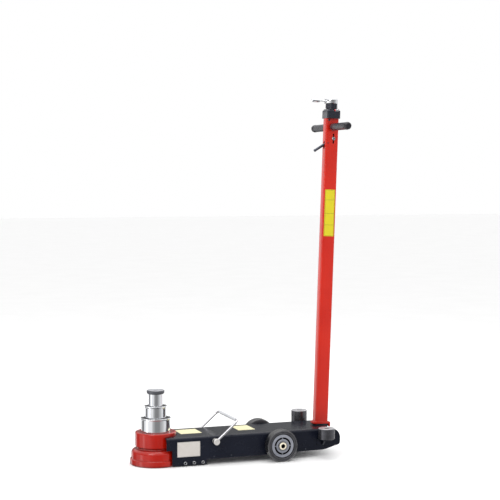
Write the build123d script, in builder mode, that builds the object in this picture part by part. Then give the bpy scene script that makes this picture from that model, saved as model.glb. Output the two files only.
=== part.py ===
from build123d import *
import os
import math

os.makedirs("parts", exist_ok=True)

# ---------------------------------------------------------------------------
# Three-stage air-hydraulic trolley jack.
# Frame: origin on the ram axis at floor level, +X to the rear (mast end),
# +Y to the far side, +Z up. Millimetres.
# ---------------------------------------------------------------------------

# base casting
foot_r, foot_h = 88.0, 20.0
ring_r, ring_top = 84.0, 40.0
cyl_r, cyl_top = 70.4, 111.5
bore_r, floor_t = 56.0, 12.0
gland_r, gland_z0, gland_z1 = 61.0, 88.0, 110.6
boss_x, boss_half, boss_z0, boss_z1 = 98.0, 48.0, 16.0, 62.0

# telescopic rams (outer radii and tops in the stored pose)
r1, r1_top, r1_bot = 50.5, 159.2, 59.0
r2, r2_top, r2_bot = 36.2, 200.65, 106.4
r3, r3_top, r3_bot = 24.3, 240.95, 153.7
saddle_r, saddle_top = 30.9, 254.05
fit = 0.1

# chassis
side_y, sheet, bend = 89.7, 4.0, 9.0
deck_z = 98.5
flange_in = 66.0
seam_x, seam_half = 200.0, 0.2
deck_end = 616.0
slot_x, slot_half = 586.0, 26.0

# wheels
axle_x, axle_z, axle_r = 418.3, 55.5, 12.6
wheel_r, wheel_in, wheel_out = 55.5, 97.0, 134.6
tread_in = 40.0

# carrying bail
bail_x, bail_z, bail_arm, bail_y, bail_deg, wire_r = 184.8, 81.2, 102.5, 105.5, 41.0, 4.0

# extension adapters and their brackets
ad_x, ad_y, ad_r, ad_z = 583.1, 129.2, 28.7, 69.9
ad_short, ad_tall = 37.9, 61.5
spigot_r, spigot_l, socket_r, socket_d = 9.0, 7.5, 9.3, 8.0

# mast
lean = 2.1
piv_x, piv_z, pin_r = 610.66, 58.0, 9.0
tube_u, tube_v, tube_t = 48.0, 32.0, 2.5
flange_w0, flange_w1 = 44.5, 50.5
tube_top = 1134.8
grip_w, grip_half, grip_r, bar_r = 1104.4, 157.5, 12.9, 10.0
slot_w0, slot_w1, slot_u = 1045.7, 1081.7, 5.0
bolt_w = 1063.7
ful_u, ful_w = -15.0, 1047.8
tip_u, tip_w = -61.0, 1017.5
win_w = 1040.5
head_u, head_v = 49.0, 56.0

c, s = math.cos(math.radians(lean)), math.sin(math.radians(lean))
MAST = Plane(origin=(piv_x, 0, piv_z), x_dir=(c, 0, -s), z_dir=(s, 0, c))


def mpt(u, v, w):
    """Point given in mast coordinates: u to the rear, v to the far side, w up the mast."""
    return (piv_x + u * c + w * s, v, piv_z - u * s + w * c)


def mast_side(u, v, w):
    """Sketch plane whose normal is +Y, with local x along u and local y down the mast."""
    return Plane(origin=mpt(u, v, w), x_dir=(c, 0, -s), z_dir=(0, 1, 0))


def mast_rad(u, v, w):
    """Sketch plane in which local x runs up the mast and local y runs to +Y."""
    return Plane(origin=mpt(u, v, w), x_dir=(s, 0, c), z_dir=(-c, 0, s))


def write(part, name):
    part.part.label = name
    export_step(part.part, f"parts/{name}.step")


# ---------------------------------------------------------------------------
# Base casting and gland
# ---------------------------------------------------------------------------
with BuildPart() as base_casting:
    with BuildSketch(Plane.XZ):
        with BuildLine():
            Polyline((0, 0), (86.2, 0), (87.6, 0.8), (foot_r, 2.4), (foot_r, foot_h - 1.2), (87.2, foot_h),
                     (84.9, foot_h + 1.2), (ring_r, foot_h + 2.4), (ring_r, ring_top))
            ThreePointArc((ring_r, ring_top), (81.0, 48.4), (73.6, 53.6))
            Polyline((73.6, 53.6), (70.2, 54.4), (69.0, 55.6), (69.0, 57.2), (cyl_r, 58.8), (cyl_r, cyl_top - 3.4))
            ThreePointArc((cyl_r, cyl_top - 3.4), (69.4, cyl_top - 1.0), (67.0, cyl_top))
            Polyline((67.0, cyl_top), (63.2, cyl_top), (gland_r, cyl_top - 1.6), (gland_r, gland_z0), (bore_r, gland_z0),
                     (bore_r, floor_t), (0, floor_t), (0, 0))
        make_face()
    revolve(axis=Axis.Z)
    with BuildSketch(Plane.YZ.offset(59.0)):
        with Locations((0, (boss_z0 + boss_z1) / 2)):
            RectangleRounded(2 * boss_half, boss_z1 - boss_z0, 5)
    extrude(amount=boss_x - 59.0)
    # oil gallery from the pump face into the cylinder
    with BuildSketch(Plane.YZ.offset(boss_x)):
        with Locations((0, 28)):
            Circle(4)
    extrude(amount=-50, mode=Mode.SUBTRACT)
write(base_casting, "base_casting")

with BuildPart() as base_gland:
    with BuildSketch(Plane.XZ):
        with BuildLine():
            Polyline((r1 + fit, gland_z0), (gland_r, gland_z0), (gland_r, gland_z1 - 1.2), (gland_r - 1.4, gland_z1),
                     (r1 + 1.6, gland_z1), (r1 + fit, gland_z1 - 1.5), (r1 + fit, gland_z0))
        make_face()
    revolve(axis=Axis.Z)
write(base_gland, "base_gland")


# ---------------------------------------------------------------------------
# Telescopic rams
# ---------------------------------------------------------------------------
with BuildPart() as ram_1_tube:
    with BuildSketch(Plane.XZ):
        with BuildLine():
            Polyline((5, r1_bot), (55.7, r1_bot), (55.7, 63.5), (52.0, 63.5), (52.0, 69.5), (55.7, 69.5), (55.7, 73.0),
                     (r1, 75.0), (r1, 153.8), (51.8, 155.2), (51.8, 157.6))
            ThreePointArc((51.8, 157.6), (51.2, 158.8), (50.0, r1_top))
            Polyline((50.0, r1_top), (48.6, r1_top), (47.2, 158.0), (42.6, 155.4), (40.4, 154.8), (40.4, 149.0),
                     (r2 + fit, 149.0), (r2 + fit, 144.0), (43.5, 144.0), (43.5, 67.0), (5, 67.0), (5, r1_bot))
        make_face()
    revolve(axis=Axis.Z)
write(ram_1_tube, "ram_1_tube")

with BuildPart() as ram_1_seals:
    with BuildSketch(Plane.XZ):
        with Locations((53.9, 66.5)):
            RectangleRounded(3.8, 6.0, 0.6)
    revolve(axis=Axis.Z)
    with BuildSketch(Plane.XZ):
        with BuildLine():
            Polyline((r2 + fit, 149.0), (40.4, 149.0), (40.4, 154.2), (39.2, 154.8), (r2 + fit, 155.8), (r2 + fit, 149.0))
        make_face()
    revolve(axis=Axis.Z)
write(ram_1_seals, "ram_1_seals")

with BuildPart() as ram_2_tube:
    with BuildSketch(Plane.XZ):
        with BuildLine():
            Polyline((4, r2_bot), (43.2, r2_bot), (43.2, 110.4), (39.6, 110.4), (39.6, 115.4), (43.2, 115.4), (43.2, 119.4),
                     (r2, 121.0), (r2, 193.8), (38.5, 196.2), (38.5, 199.0))
            ThreePointArc((38.5, 199.0), (37.95, 200.1), (36.8, r2_top))
            Polyline((36.8, r2_top), (35.6, r2_top), (34.2, 199.4), (30.6, 197.0), (28.2, 196.4), (28.2, 190.5),
                     (r3 + fit, 190.5), (r3 + fit, 186.0), (30.5, 186.0), (30.5, 113.4), (4, 113.4), (4, r2_bot))
        make_face()
    revolve(axis=Axis.Z)
write(ram_2_tube, "ram_2_tube")

with BuildPart() as ram_2_seals:
    with BuildSketch(Plane.XZ):
        with Locations((41.45, 112.9)):
            RectangleRounded(3.7, 5.0, 0.6)
    revolve(axis=Axis.Z)
    with BuildSketch(Plane.XZ):
        with BuildLine():
            Polyline((r3 + fit, 190.5), (28.2, 190.5), (28.2, 195.8), (27.0, 196.4), (r3 + fit, 197.4), (r3 + fit, 190.5))
        make_face()
    revolve(axis=Axis.Z)
write(ram_2_seals, "ram_2_seals")

with BuildPart() as ram_3_rod:
    with BuildSketch(Plane.XZ):
        with BuildLine():
            Polyline((0, r3_bot), (30.2, r3_bot), (30.2, 157.6), (27.0, 157.6), (27.0, 161.6), (30.2, 161.6), (30.2, 165.4),
                     (r3, 166.6), (r3, r3_top - 0.8), (r3 - 0.8, r3_top), (10.05, r3_top), (10.05, 216.0), (0, 216.0),
                     (0, r3_bot))
        make_face()
    revolve(axis=Axis.Z)
write(ram_3_rod, "ram_3_rod")

with BuildPart() as ram_3_seal:
    with BuildSketch(Plane.XZ):
        with Locations((28.6, 159.6)):
            RectangleRounded(3.2, 4.0, 0.5)
    revolve(axis=Axis.Z)
write(ram_3_seal, "ram_3_seal")

with BuildPart() as saddle:
    with BuildSketch(Plane.XZ):
        with BuildLine():
            Polyline((0, 217.0), (9.2, 217.0), (10.0, 217.8), (10.0, 241.15), (27.6, 241.15), (29.2, 242.2))
            ThreePointArc((29.2, 242.2), (30.5, 244.2), (saddle_r, 246.6))
            Line((saddle_r, 246.6), (saddle_r, 250.4))
            ThreePointArc((saddle_r, 250.4), (30.0, 253.0), (27.6, saddle_top))
            Polyline((27.6, saddle_top), (22.0, saddle_top), (21.2, 253.3), (19.0, 253.3), (18.2, saddle_top),
                     (socket_r + 1.6, saddle_top), (socket_r, saddle_top - 1.6), (socket_r, saddle_top - socket_d - 1.6),
                     (0, saddle_top - socket_d - 1.6), (0, 217.0))
        make_face()
    revolve(axis=Axis.Z)
write(saddle, "saddle")

# ---------------------------------------------------------------------------
# Chassis: two folded side plates, flush covers, bottom plate, tray, fixings
# ---------------------------------------------------------------------------
for side, sy in (("near", -1), ("far", 1)):
    with BuildPart() as side_plate:
        # folded section: tall wall, outside bend, inward flange
        with BuildSketch(Plane.YZ.offset(13.0)):
            with BuildLine():
                l1 = Line((sy * side_y, 0), (sy * side_y, deck_z - bend))
                a1 = RadiusArc(l1 @ 1, (sy * (side_y - bend), deck_z), -sy * bend)
                l2 = Polyline(a1 @ 1, (sy * flange_in, deck_z), (sy * flange_in, deck_z - sheet),
                              (sy * (side_y - bend), deck_z - sheet))
                a2 = RadiusArc(l2 @ 1, (sy * (side_y - sheet), deck_z - bend), sy * (bend - sheet))
                Polyline(a2 @ 1, (sy * (side_y - sheet), 0), (sy * side_y, 0))
            make_face()
        extrude(amount=640)
        # side outline
        with BuildSketch(Plane.XZ.offset(-120)):
            with BuildLine():
                Polyline((13, 110), (13, 56), (33, 56), (33, 3), (155, 3), (155, 20), (372, 20.6), (489, 23), (586, 24.4),
                         (600, 26.6), (630, 35.6), (641.5, 38.2))
                ThreePointArc((641.5, 38.2), (648.6, 41.8), (651.6, 49.0))
                Line((651.6, 49.0), (652.0, 64.0))
                ThreePointArc((652.0, 64.0), (644.6, 84.6), (626.0, 96.2))
                Polyline((626.0, 96.2), (618.0, 98.5), (612.0, 110), (13, 110))
            make_face()
        extrude(amount=240, mode=Mode.INTERSECT)
        # notch round the lift cylinder, axle, bail and skirt holes
        with BuildSketch(Plane.XY.offset(80)):
            Circle(cyl_r + 1.2)
        extrude(amount=40, mode=Mode.SUBTRACT)
        with BuildSketch(Plane.XZ.offset(-120)):
            with Locations((axle_x, axle_z)):
                Circle(axle_r)
            with Locations((bail_x, bail_z)):
                Circle(6.0)
            with Locations((78.6, 11.3), (109.9, 11.3), (141.4, 11.3)):
                Circle(4.1)
        extrude(amount=240, mode=Mode.SUBTRACT)
    write(side_plate, f"side_plate_{side}")

with BuildPart() as front_cover:
    with BuildSketch(Plane.XY.offset(deck_z - sheet)):
        with BuildLine():
            Polyline((24, -flange_in + 0.2), (seam_x - seam_half, -flange_in + 0.2), (seam_x - seam_half, flange_in - 0.2),
                     (24, flange_in - 0.2), (24, -flange_in + 0.2))
        make_face()
        Circle(cyl_r + 1.2, mode=Mode.SUBTRACT)
    extrude(amount=sheet)
    # tongue that carries the joint with the rear deck
    with BuildSketch(Plane.XY.offset(deck_z - 2 * sheet + 0.8)):
        with Locations((seam_x + 1, 0)):
            Rectangle(34, 2 * flange_in - 10)
    extrude(amount=sheet - 0.8)
write(front_cover, "front_cover")

with BuildPart() as rear_deck:
    with BuildSketch(Plane.XY.offset(deck_z - sheet)):
        with BuildLine():
            Polyline((seam_x + seam_half, -flange_in + 0.2), (deck_end, -flange_in + 0.2), (deck_end, -slot_half),
                     (slot_x, -slot_half), (slot_x, slot_half), (deck_end, slot_half), (deck_end, flange_in - 0.2),
                     (seam_x + seam_half, flange_in - 0.2), (seam_x + seam_half, -flange_in + 0.2))
        make_face()
    extrude(amount=sheet)
write(rear_deck, "rear_deck")

with BuildPart() as bottom_plate:
    with BuildSketch(Plane.XY.offset(4)):
        with Locations((97.5, 0)):
            Rectangle(115, 2 * (side_y - sheet))
        Circle(foot_r + 0.3, mode=Mode.SUBTRACT)
    extrude(amount=12)
    for sy in (-1, 1):
        with BuildSketch(Plane.XZ.offset(-sy * 60)):
            with Locations((78.6, 11.3), (109.9, 11.3), (141.4, 11.3)):
                Circle(4.0)
        extrude(amount=-sy * 40, mode=Mode.SUBTRACT)
write(bottom_plate, "bottom_plate")

with BuildPart() as skirt_bolts:
    for sy in (-1, 1):
        with BuildSketch(Plane.XZ.offset(-sy * 62)):
            with Locations((78.6, 11.3), (109.9, 11.3), (141.4, 11.3)):
                Circle(4.0)
        extrude(amount=-sy * (side_y - 62))
        with BuildSketch(Plane.XZ.offset(-sy * side_y)):
            with Locations((78.6, 11.3), (109.9, 11.3), (141.4, 11.3)):
                Circle(5.6)
        extrude(amount=-sy * 4.2)
        with BuildSketch(Plane.XZ.offset(-sy * (side_y + 4.2))):
            with Locations((78.6, 11.3), (109.9, 11.3), (141.4, 11.3)):
                RegularPolygon(2.9, 6)
        extrude(amount=sy * 2.6, mode=Mode.SUBTRACT)
write(skirt_bolts, "skirt_bolts")

with BuildPart() as bottom_tray:
    with BuildSketch(Plane.YZ.offset(157.5)):
        with BuildLine():
            yo = side_y - sheet - 0.1
            Polyline((-yo, 25), (yo, 25), (yo, 36), (yo - 2, 36), (yo - 2, 27), (-yo + 2, 27), (-yo + 2, 36), (-yo, 36), (-yo, 25))
        make_face()
    extrude(amount=392)
write(bottom_tray, "bottom_tray")


# ---------------------------------------------------------------------------
# Hydraulic pump, air motor, oil tank and lines inside the chassis
# ---------------------------------------------------------------------------
motor_z, motor_ro, motor_ri = 58.5, 31.0, 28.2
with BuildPart() as pump_block:
    with BuildSketch(Plane.YZ.offset(boss_x)):
        with Locations((0, 54.0)):
            RectangleRounded(92, 74, 4)
    extrude(amount=52)
    # plunger bore, oil gallery and release valve seat
    with BuildSketch(Plane.YZ.offset(150)):
        with Locations((0, motor_z)):
            Circle(7.0)
    extrude(amount=-44, mode=Mode.SUBTRACT)
    with BuildSketch(Plane.YZ.offset(boss_x)):
        with Locations((0, 28)):
            Circle(4)
    extrude(amount=20, mode=Mode.SUBTRACT)
    with BuildSketch(Plane.XZ.offset(46)):
        with Locations((124, 34)):
            Circle(7)
    extrude(amount=-20, mode=Mode.SUBTRACT)
write(pump_block, "pump_block")

with BuildPart() as release_valve:
    with BuildSketch(Plane.XZ.offset(26.4)):
        with Locations((124, 34)):
            Circle(7)
    extrude(amount=19.6)
    with BuildSketch(Plane.XZ.offset(46)):
        with Locations((124, 34)):
            RegularPolygon(10.5, 6)
    extrude(amount=9)
    with BuildSketch(Plane.XZ.offset(55)):
        with Locations((124, 34)):
            Circle(5)
    extrude(amount=14)
write(release_valve, "release_valve")

with BuildPart() as air_cylinder:
    with BuildSketch(Plane.YZ.offset(150)):
        with Locations((0, motor_z)):
            Circle(motor_ro)
            Circle(motor_ri, mode=Mode.SUBTRACT)
    extrude(amount=118)
write(air_cylinder, "air_cylinder")

with BuildPart() as air_cylinder_cap:
    with BuildSketch(Plane.YZ.offset(268)):
        with Locations((0, motor_z)):
            Circle(motor_ro)
    extrude(amount=13)
    with BuildSketch(Plane.XZ.offset(-28)):
        with Locations((274.5, motor_z)):
            Circle(6.0)
    extrude(amount=-8)
    with BuildSketch(Plane.XZ.offset(-36)):
        with Locations((274.5, motor_z)):
            Circle(3.0)
    extrude(amount=30, mode=Mode.SUBTRACT)
    with BuildSketch(Plane.YZ.offset(268)):
        with Locations((0, motor_z)):
            Circle(5.0)
    extrude(amount=7, mode=Mode.SUBTRACT)
write(air_cylinder_cap, "air_cylinder_cap")

with BuildPart() as air_piston:
    with BuildSketch(Plane.YZ.offset(244)):
        with Locations((0, motor_z)):
            Circle(motor_ri - 0.3)
    extrude(amount=16)
    with BuildSketch(Plane.YZ.offset(244)):
        with Locations((0, motor_z)):
            Circle(10)
            Circle(5, mode=Mode.SUBTRACT)
    extrude(amount=-8)
write(air_piston, "air_piston")

with BuildPart() as pump_plunger:
    with BuildSketch(Plane.YZ.offset(141)):
        with Locations((0, motor_z)):
            Circle(6.95)
    extrude(amount=95)
    with BuildSketch(Plane.YZ.offset(236)):
        with Locations((0, motor_z)):
            Circle(5)
    extrude(amount=8)
write(pump_plunger, "pump_plunger")

with BuildPart() as return_spring:
    with BuildLine() as coil:
        Helix(pitch=12.4, height=89.0, radius=18.0, center=(152.5, 0, motor_z), direction=(1, 0, 0))
    with BuildSketch(Plane(origin=coil.line @ 0, z_dir=coil.line % 0)):
        Circle(1.6)
    sweep()
write(return_spring, "return_spring")

tank_y, tank_x0, tank_x1, tank_z0, tank_z1 = 58.0, 290.0, 392.0, 28.0, 86.0
with BuildPart() as oil_tank:
    with BuildSketch(Plane.XY.offset(tank_z0)):
        with Locations(((tank_x0 + tank_x1) / 2, 0)):
            RectangleRounded(tank_x1 - tank_x0, 2 * tank_y, 8)
    extrude(amount=tank_z1 - tank_z0)
    with BuildSketch(Plane.XY.offset(tank_z0 + 2.5)):
        with Locations(((tank_x0 + tank_x1) / 2, 0)):
            RectangleRounded(tank_x1 - tank_x0 - 5, 2 * tank_y - 5, 6)
    extrude(amount=tank_z1 - tank_z0 - 5, mode=Mode.SUBTRACT)
    with BuildSketch(Plane.XY.offset(tank_z1 - 3)):
        with Locations((tank_x1 - 24, 34)):
            Circle(8)
    extrude(amount=4, mode=Mode.SUBTRACT)
    with BuildSketch(Plane.YZ.offset(tank_x0)):
        with Locations((-39.5, 34), (39.5, 34)):
            Circle(3.4)
    extrude(amount=3, mode=Mode.SUBTRACT)
write(oil_tank, "oil_tank")

with BuildPart() as tank_plug:
    with BuildSketch(Plane.XY.offset(tank_z1 - 7)):
        with Locations((tank_x1 - 24, 34)):
            Circle(8)
    extrude(amount=7)
    with BuildSketch(Plane.XY.offset(tank_z1)):
        with Locations((tank_x1 - 24, 34)):
            RegularPolygon(11, 6)
    extrude(amount=5)
write(tank_plug, "tank_plug")

with BuildPart() as oil_tubes:
    with BuildSketch(Plane.YZ.offset(150)):
        with Locations((-39.5, 34), (39.5, 34)):
            Circle(5.0)
            Circle(3.4, mode=Mode.SUBTRACT)
    extrude(amount=tank_x0 - 150)
write(oil_tubes, "oil_tubes")

hose_pts = [(274.5, 36.0, motor_z), (274.5, 71.5, motor_z), (352, 73.5, 80), (470, 73.5, 81),
            (568, 71.5, 74), (piv_x, 66.0, piv_z), (piv_x, 37.0, piv_z)]
with BuildPart() as air_hose_lower:
    with BuildLine() as hose_line:
        FilletPolyline(*hose_pts, radius=[16, 24, 60, 60, 12])
    with BuildSketch(Plane(origin=hose_line.line @ 0, z_dir=hose_line.line % 0)):
        Circle(5.0)
    sweep()
write(air_hose_lower, "air_hose_lower")

# ---------------------------------------------------------------------------
# Axle and wheels
# ---------------------------------------------------------------------------
AX = Axis((axle_x, 0, axle_z), (0, 1, 0))
AXP = Plane(origin=(axle_x, 0, axle_z), x_dir=(0, 0, 1), z_dir=(-1, 0, 0))
with BuildPart() as wheel_axle:
    with BuildSketch(AXP):
        with BuildLine():
            Polyline((0, -100), (7.4, -112), (7.4, -134.8), (11.6, -134.8), (axle_r, -133.8), (axle_r, -133.5),
                     (11.6, -133.5), (11.6, -132.3), (axle_r, -132.3), (axle_r, 132.3), (11.6, 132.3), (11.6, 133.5),
                     (axle_r, 133.5), (axle_r, 133.8), (11.6, 134.8), (7.4, 134.8), (7.4, 112), (0, 100), (0, -100))
        make_face()
    revolve(axis=AX)
write(wheel_axle, "wheel_axle")

with BuildPart() as axle_rings:
    for sy in (-1, 1):
        with BuildSketch(AXP):
            with BuildLine():
                Polyline((11.6, sy * 132.3), (16.0, sy * 132.3), (16.0, sy * 133.5), (11.6, sy * 133.5), (11.6, sy * 132.3))
            make_face()
        revolve(axis=AX)
        with BuildSketch(AXP):
            with BuildLine():
                Polyline((axle_r, sy * side_y), (18.0, sy * side_y), (18.0, sy * 98.2), (axle_r, sy * 98.2), (axle_r, sy * side_y))
            make_face()
        revolve(axis=AX)
write(axle_rings, "axle_rings")

for side, sy in (("near", -1), ("far", 1)):
    with BuildPart() as tyre:
        with BuildSketch(AXP):
            with BuildLine():
                p = [(tread_in, 99.0), (42.5, 98.0), (50.0, 97.2), (53.4, 98.4), (55.0, 101.0), (wheel_r, 104.6),
                     (wheel_r, 127.6), (55.0, 130.6), (53.6, 133.0), (51.4, 134.3), (48.2, wheel_out), (47.4, 133.5),
                     (44.4, 133.2), (43.6, 132.2), (tread_in, 132.0), (tread_in, 99.0)]
                Polyline(*[(a, sy * b) for a, b in p])
            make_face()
        revolve(axis=AX)
    write(tyre, f"tyre_{side}")

    with BuildPart() as rim:
        with BuildSketch(AXP):
            with BuildLine():
                p = [(17.0, 98.6), (24.0, 98.6), (25.0, 99.6), (25.0, 110.0), (29.0, 110.0), (29.0, 101.0), (30.0, 100.0),
                     (tread_in, 100.0), (tread_in, 131.0), (38.8, 132.2), (30.6, 132.2), (29.0, 130.6), (29.0, 120.0),
                     (25.0, 120.0), (25.0, 130.2), (23.4, 131.8), (17.0, 131.8), (17.0, 98.6)]
                Polyline(*[(a, sy * b) for a, b in p])
            make_face()
        revolve(axis=AX)
        with BuildSketch(Plane.XZ.offset(-sy * 119.0)):
            with Locations((axle_x, axle_z)):
                with PolarLocations(27.0, 4):
                    Rectangle(5.0, 2.4)
        extrude(amount=-sy * 10.5)
    write(rim, f"rim_{side}")

    with BuildPart() as bearings:
        for y0 in (98.8, 120.0):
            with BuildSketch(AXP):
                with BuildLine():
                    p = [(axle_r + 0.06, y0), (17.0, y0), (17.0, y0 + 11.4), (axle_r + 0.06, y0 + 11.4), (axle_r + 0.06, y0)]
                    Polyline(*[(a, sy * b) for a, b in p])
                make_face()
            revolve(axis=AX)
    write(bearings, f"bearings_{side}")

# ---------------------------------------------------------------------------
# Carrying bail
# ---------------------------------------------------------------------------
cb, sb = math.cos(math.radians(bail_deg)), math.sin(math.radians(bail_deg))
BP = Plane(origin=(bail_x, 0, bail_z), x_dir=(cb, 0, sb), z_dir=(-sb, 0, cb))
with BuildPart() as bail_handle:
    with BuildLine(BP) as bail_line:
        FilletPolyline((8, bail_y), (bail_arm, bail_y), (bail_arm, -bail_y), (8, -bail_y), radius=13)
    with BuildSketch(Plane(origin=bail_line.line @ 0, z_dir=bail_line.line % 0)):
        Circle(wire_r)
    sweep()
    with BuildSketch(Plane.XZ.offset(-bail_y - 4.3)):
        with Locations((bail_x, bail_z)):
            Circle(10.6)
    extrude(amount=8.6)
    with BuildSketch(Plane.XZ.offset(bail_y - 4.3)):
        with Locations((bail_x, bail_z)):
            Circle(10.6)
    extrude(amount=8.6)
    with BuildSketch(Plane.XZ.offset(-130)):
        with Locations((bail_x, bail_z)):
            Circle(5.1)
    extrude(amount=260, mode=Mode.SUBTRACT)
write(bail_handle, "bail_handle")

with BuildPart() as bail_grip:
    with BuildSketch(BP):
        with BuildLine():
            pts = [(bail_arm + wire_r, -86.0), (bail_arm + 5.0, -86.0)]
            y = -84.6
            while y < 84.0:
                pts += [(bail_arm + 5.6, y), (bail_arm + 5.6, y + 3.0), (bail_arm + 5.0, y + 3.6), (bail_arm + 5.0, y + 4.8)]
                y += 5.45
            pts += [(bail_arm + 5.0, 86.0), (bail_arm + wire_r, 86.0), (bail_arm + wire_r, -86.0)]
            Polyline(*pts)
        make_face()
    revolve(axis=Axis((bail_x + bail_arm * cb, 0, bail_z + bail_arm * sb), (0, 1, 0)))
write(bail_grip, "bail_grip")

with BuildPart() as bail_studs:
    for sy in (-1, 1):
        with BuildSketch(Plane(origin=(bail_x, 0, bail_z), x_dir=(0, 0, 1), z_dir=(-1, 0, 0))):
            with BuildLine():
                p = [(0, 80.0), (6.0, 80.0), (6.0, side_y), (9.0, side_y), (9.0, 100.8), (5.0, 100.8), (5.0, 110.2),
                     (11.0, 110.2), (11.3, 110.7), (10.6, 112.6), (8.0, 113.5), (0, 113.9), (0, 80.0)]
                Polyline(*[(a, sy * b) for a, b in p])
            make_face()
        revolve(axis=Axis((bail_x, 0, bail_z), (0, 1, 0)))
write(bail_studs, "bail_studs")

# ---------------------------------------------------------------------------
# Extension adapters on side brackets
# ---------------------------------------------------------------------------
for name, sy, h in (("adapter_short", -1, ad_short), ("adapter_tall", 1, ad_tall)):
    with BuildPart() as adapter:
        with BuildSketch(Plane(origin=(ad_x, sy * ad_y, 0), x_dir=(1, 0, 0), z_dir=(0, -1, 0))):
            with BuildLine():
                zt = ad_z + h
                Polyline((0, ad_z - spigot_l), (spigot_r - 1, ad_z - spigot_l), (spigot_r, ad_z - spigot_l + 1), (spigot_r, ad_z),
                         (ad_r - 1.6, ad_z), (ad_r, ad_z + 1.6), (ad_r, zt - 1.6), (ad_r - 1.6, zt), (socket_r + 1.6, zt),
                         (socket_r, zt - 1.6), (socket_r, zt - 1.6 - socket_d), (0, zt - 1.6 - socket_d), (0, ad_z - spigot_l))
            make_face()
        revolve(axis=Axis((ad_x, sy * ad_y, 0), (0, 0, 1)))
    write(adapter, name)

with BuildPart() as adapter_brackets:
    for sy in (-1, 1):
        with BuildSketch(Plane.XY.offset(ad_z - 5.5)):
            with Locations((ad_x, sy * (side_y + ad_y) / 2)):
                Rectangle(40, ad_y - side_y)
            with Locations((ad_x, sy * ad_y)):
                Circle(20)
                Circle(spigot_r + 0.4, mode=Mode.SUBTRACT)
        extrude(amount=5.2)
        with BuildSketch(Plane.XZ.offset(-sy * side_y)):
            with Locations((ad_x, ad_z - 17)):
                Rectangle(40, 24)
        extrude(amount=-sy * 4)
        with BuildSketch(Plane.YZ.offset(ad_x - 3)):
            with BuildLine():
                Polyline((sy * (side_y + 4), ad_z - 5.5), (sy * (side_y + 4), ad_z - 29), (sy * (ad_y - 14), ad_z - 5.5),
                         (sy * (side_y + 4), ad_z - 5.5))
            make_face()
        extrude(amount=6)
write(adapter_brackets, "adapter_brackets")

# ---------------------------------------------------------------------------
# Mast pivot
# ---------------------------------------------------------------------------
with BuildPart() as mast_brackets:
    for sy in (-1, 1):
        with BuildSketch(Plane.XZ.offset(-sy * 22)):
            with BuildLine():
                Polyline((554, 30), (632, 38), (641, 48), (644, 58), (640, 76), (628, 90), (616, deck_z - sheet - 0.05),
                         (554, deck_z - sheet - 0.05), (554, 30))
            make_face()
            with Locations((piv_x, piv_z)):
                Circle(pin_r, mode=Mode.SUBTRACT)
        extrude(amount=-sy * 6)
        with BuildSketch(Plane.YZ.offset(554)):
            with Locations((sy * (28 + side_y - sheet) / 2, 47)):
                Rectangle(side_y - sheet - 28, 34)
        extrude(amount=5)
write(mast_brackets, "mast_brackets")

with BuildPart() as pivot_pin:
    with BuildSketch(Plane(origin=(piv_x, 0, piv_z), x_dir=(0, 0, 1), z_dir=(-1, 0, 0))):
        with BuildLine():
            Polyline((0, -33), (8.2, -33), (pin_r, -32.2), (pin_r, 28), (6.0, 28), (6.0, 37), (3.0, 37), (3.0, 0), (0, 0), (0, -33))
        make_face()
    revolve(axis=Axis((piv_x, 0, piv_z), (0, 1, 0)))
write(pivot_pin, "pivot_pin")

drum_r = 22.0
with BuildPart() as clamp_drum:
    with BuildSketch(Plane.XZ.offset(7)):
        with Locations((piv_x, piv_z)):
            Circle(drum_r)
            Circle(pin_r, mode=Mode.SUBTRACT)
    extrude(amount=-14)
write(clamp_drum, "clamp_drum")

# ---------------------------------------------------------------------------
# Mast: foot, tube, grips, valve
# ---------------------------------------------------------------------------
with BuildPart() as mast_foot:
    with BuildSketch(MAST.offset(flange_w0)):
        with Locations((1.0, 0)):
            RectangleRounded(64, 39, 4)
        with Locations((slot_u, 0)):
            Circle(5.5, mode=Mode.SUBTRACT)
        with Locations((16, 8.5)):
            Circle(2.6, mode=Mode.SUBTRACT)
    extrude(amount=flange_w1 - flange_w0)
    # rear lug turned down behind the deck
    with BuildSketch(MAST.offset(flange_w0)):
        with Locations((30.0, 0)):
            RectangleRounded(6.0, 36, 1.5)
    extrude(amount=-10.5)
    # two ears over the pivot pin
    for sv in (-1, 1):
        with BuildSketch(mast_side(0, sv * 9.0, 0)):
            with BuildLine():
                Polyline((-21, -flange_w0), (21, -flange_w0), (21, 0), (14.8, 12.5), (0, 17), (-14.8, 12.5), (-21, 0), (-21, -flange_w0))
            make_face()
            Circle(pin_r + 0.08, mode=Mode.SUBTRACT)
        extrude(amount=sv * 10.0)
write(mast_foot, "mast_foot")

with BuildPart() as mast_tube:
    with BuildSketch(MAST.offset(flange_w1)):
        RectangleRounded(tube_u, tube_v, 4.5)
        RectangleRounded(tube_u - 2 * tube_t, tube_v - 2 * tube_t, 2.2, mode=Mode.SUBTRACT)
    extrude(amount=tube_top - flange_w1)
    # cross holes for the grip bar, the two guide slots, the valve screws
    with BuildSketch(mast_side(0, -30, 0)):
        with Locations((0, -grip_w)):
            Circle(bar_r)
        with Locations((slot_u, -(slot_w0 + slot_w1) / 2)):
            SlotOverall(slot_w1 - slot_w0, 5.4, rotation=90)
        with Locations((-14, -1129.0)):
            Circle(2.0)
        with Locations((ful_u, -ful_w)):
            Circle(2.08)
    extrude(amount=60, mode=Mode.SUBTRACT)
    # window in the front wall for the clamp lever
    with BuildSketch(Plane(origin=mpt(-30, 0, win_w), x_dir=(0, 1, 0), z_dir=(c, 0, -s))):
        SlotOverall(28, 10.5, rotation=90)
    extrude(amount=12, mode=Mode.SUBTRACT)
write(mast_tube, "mast_tube")

with BuildPart() as grip_bar:
    with BuildSketch(mast_side(0, -154, grip_w)):
        Circle(bar_r)
        Circle(7.6, mode=Mode.SUBTRACT)
    extrude(amount=308)
write(grip_bar, "grip_bar")

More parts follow.
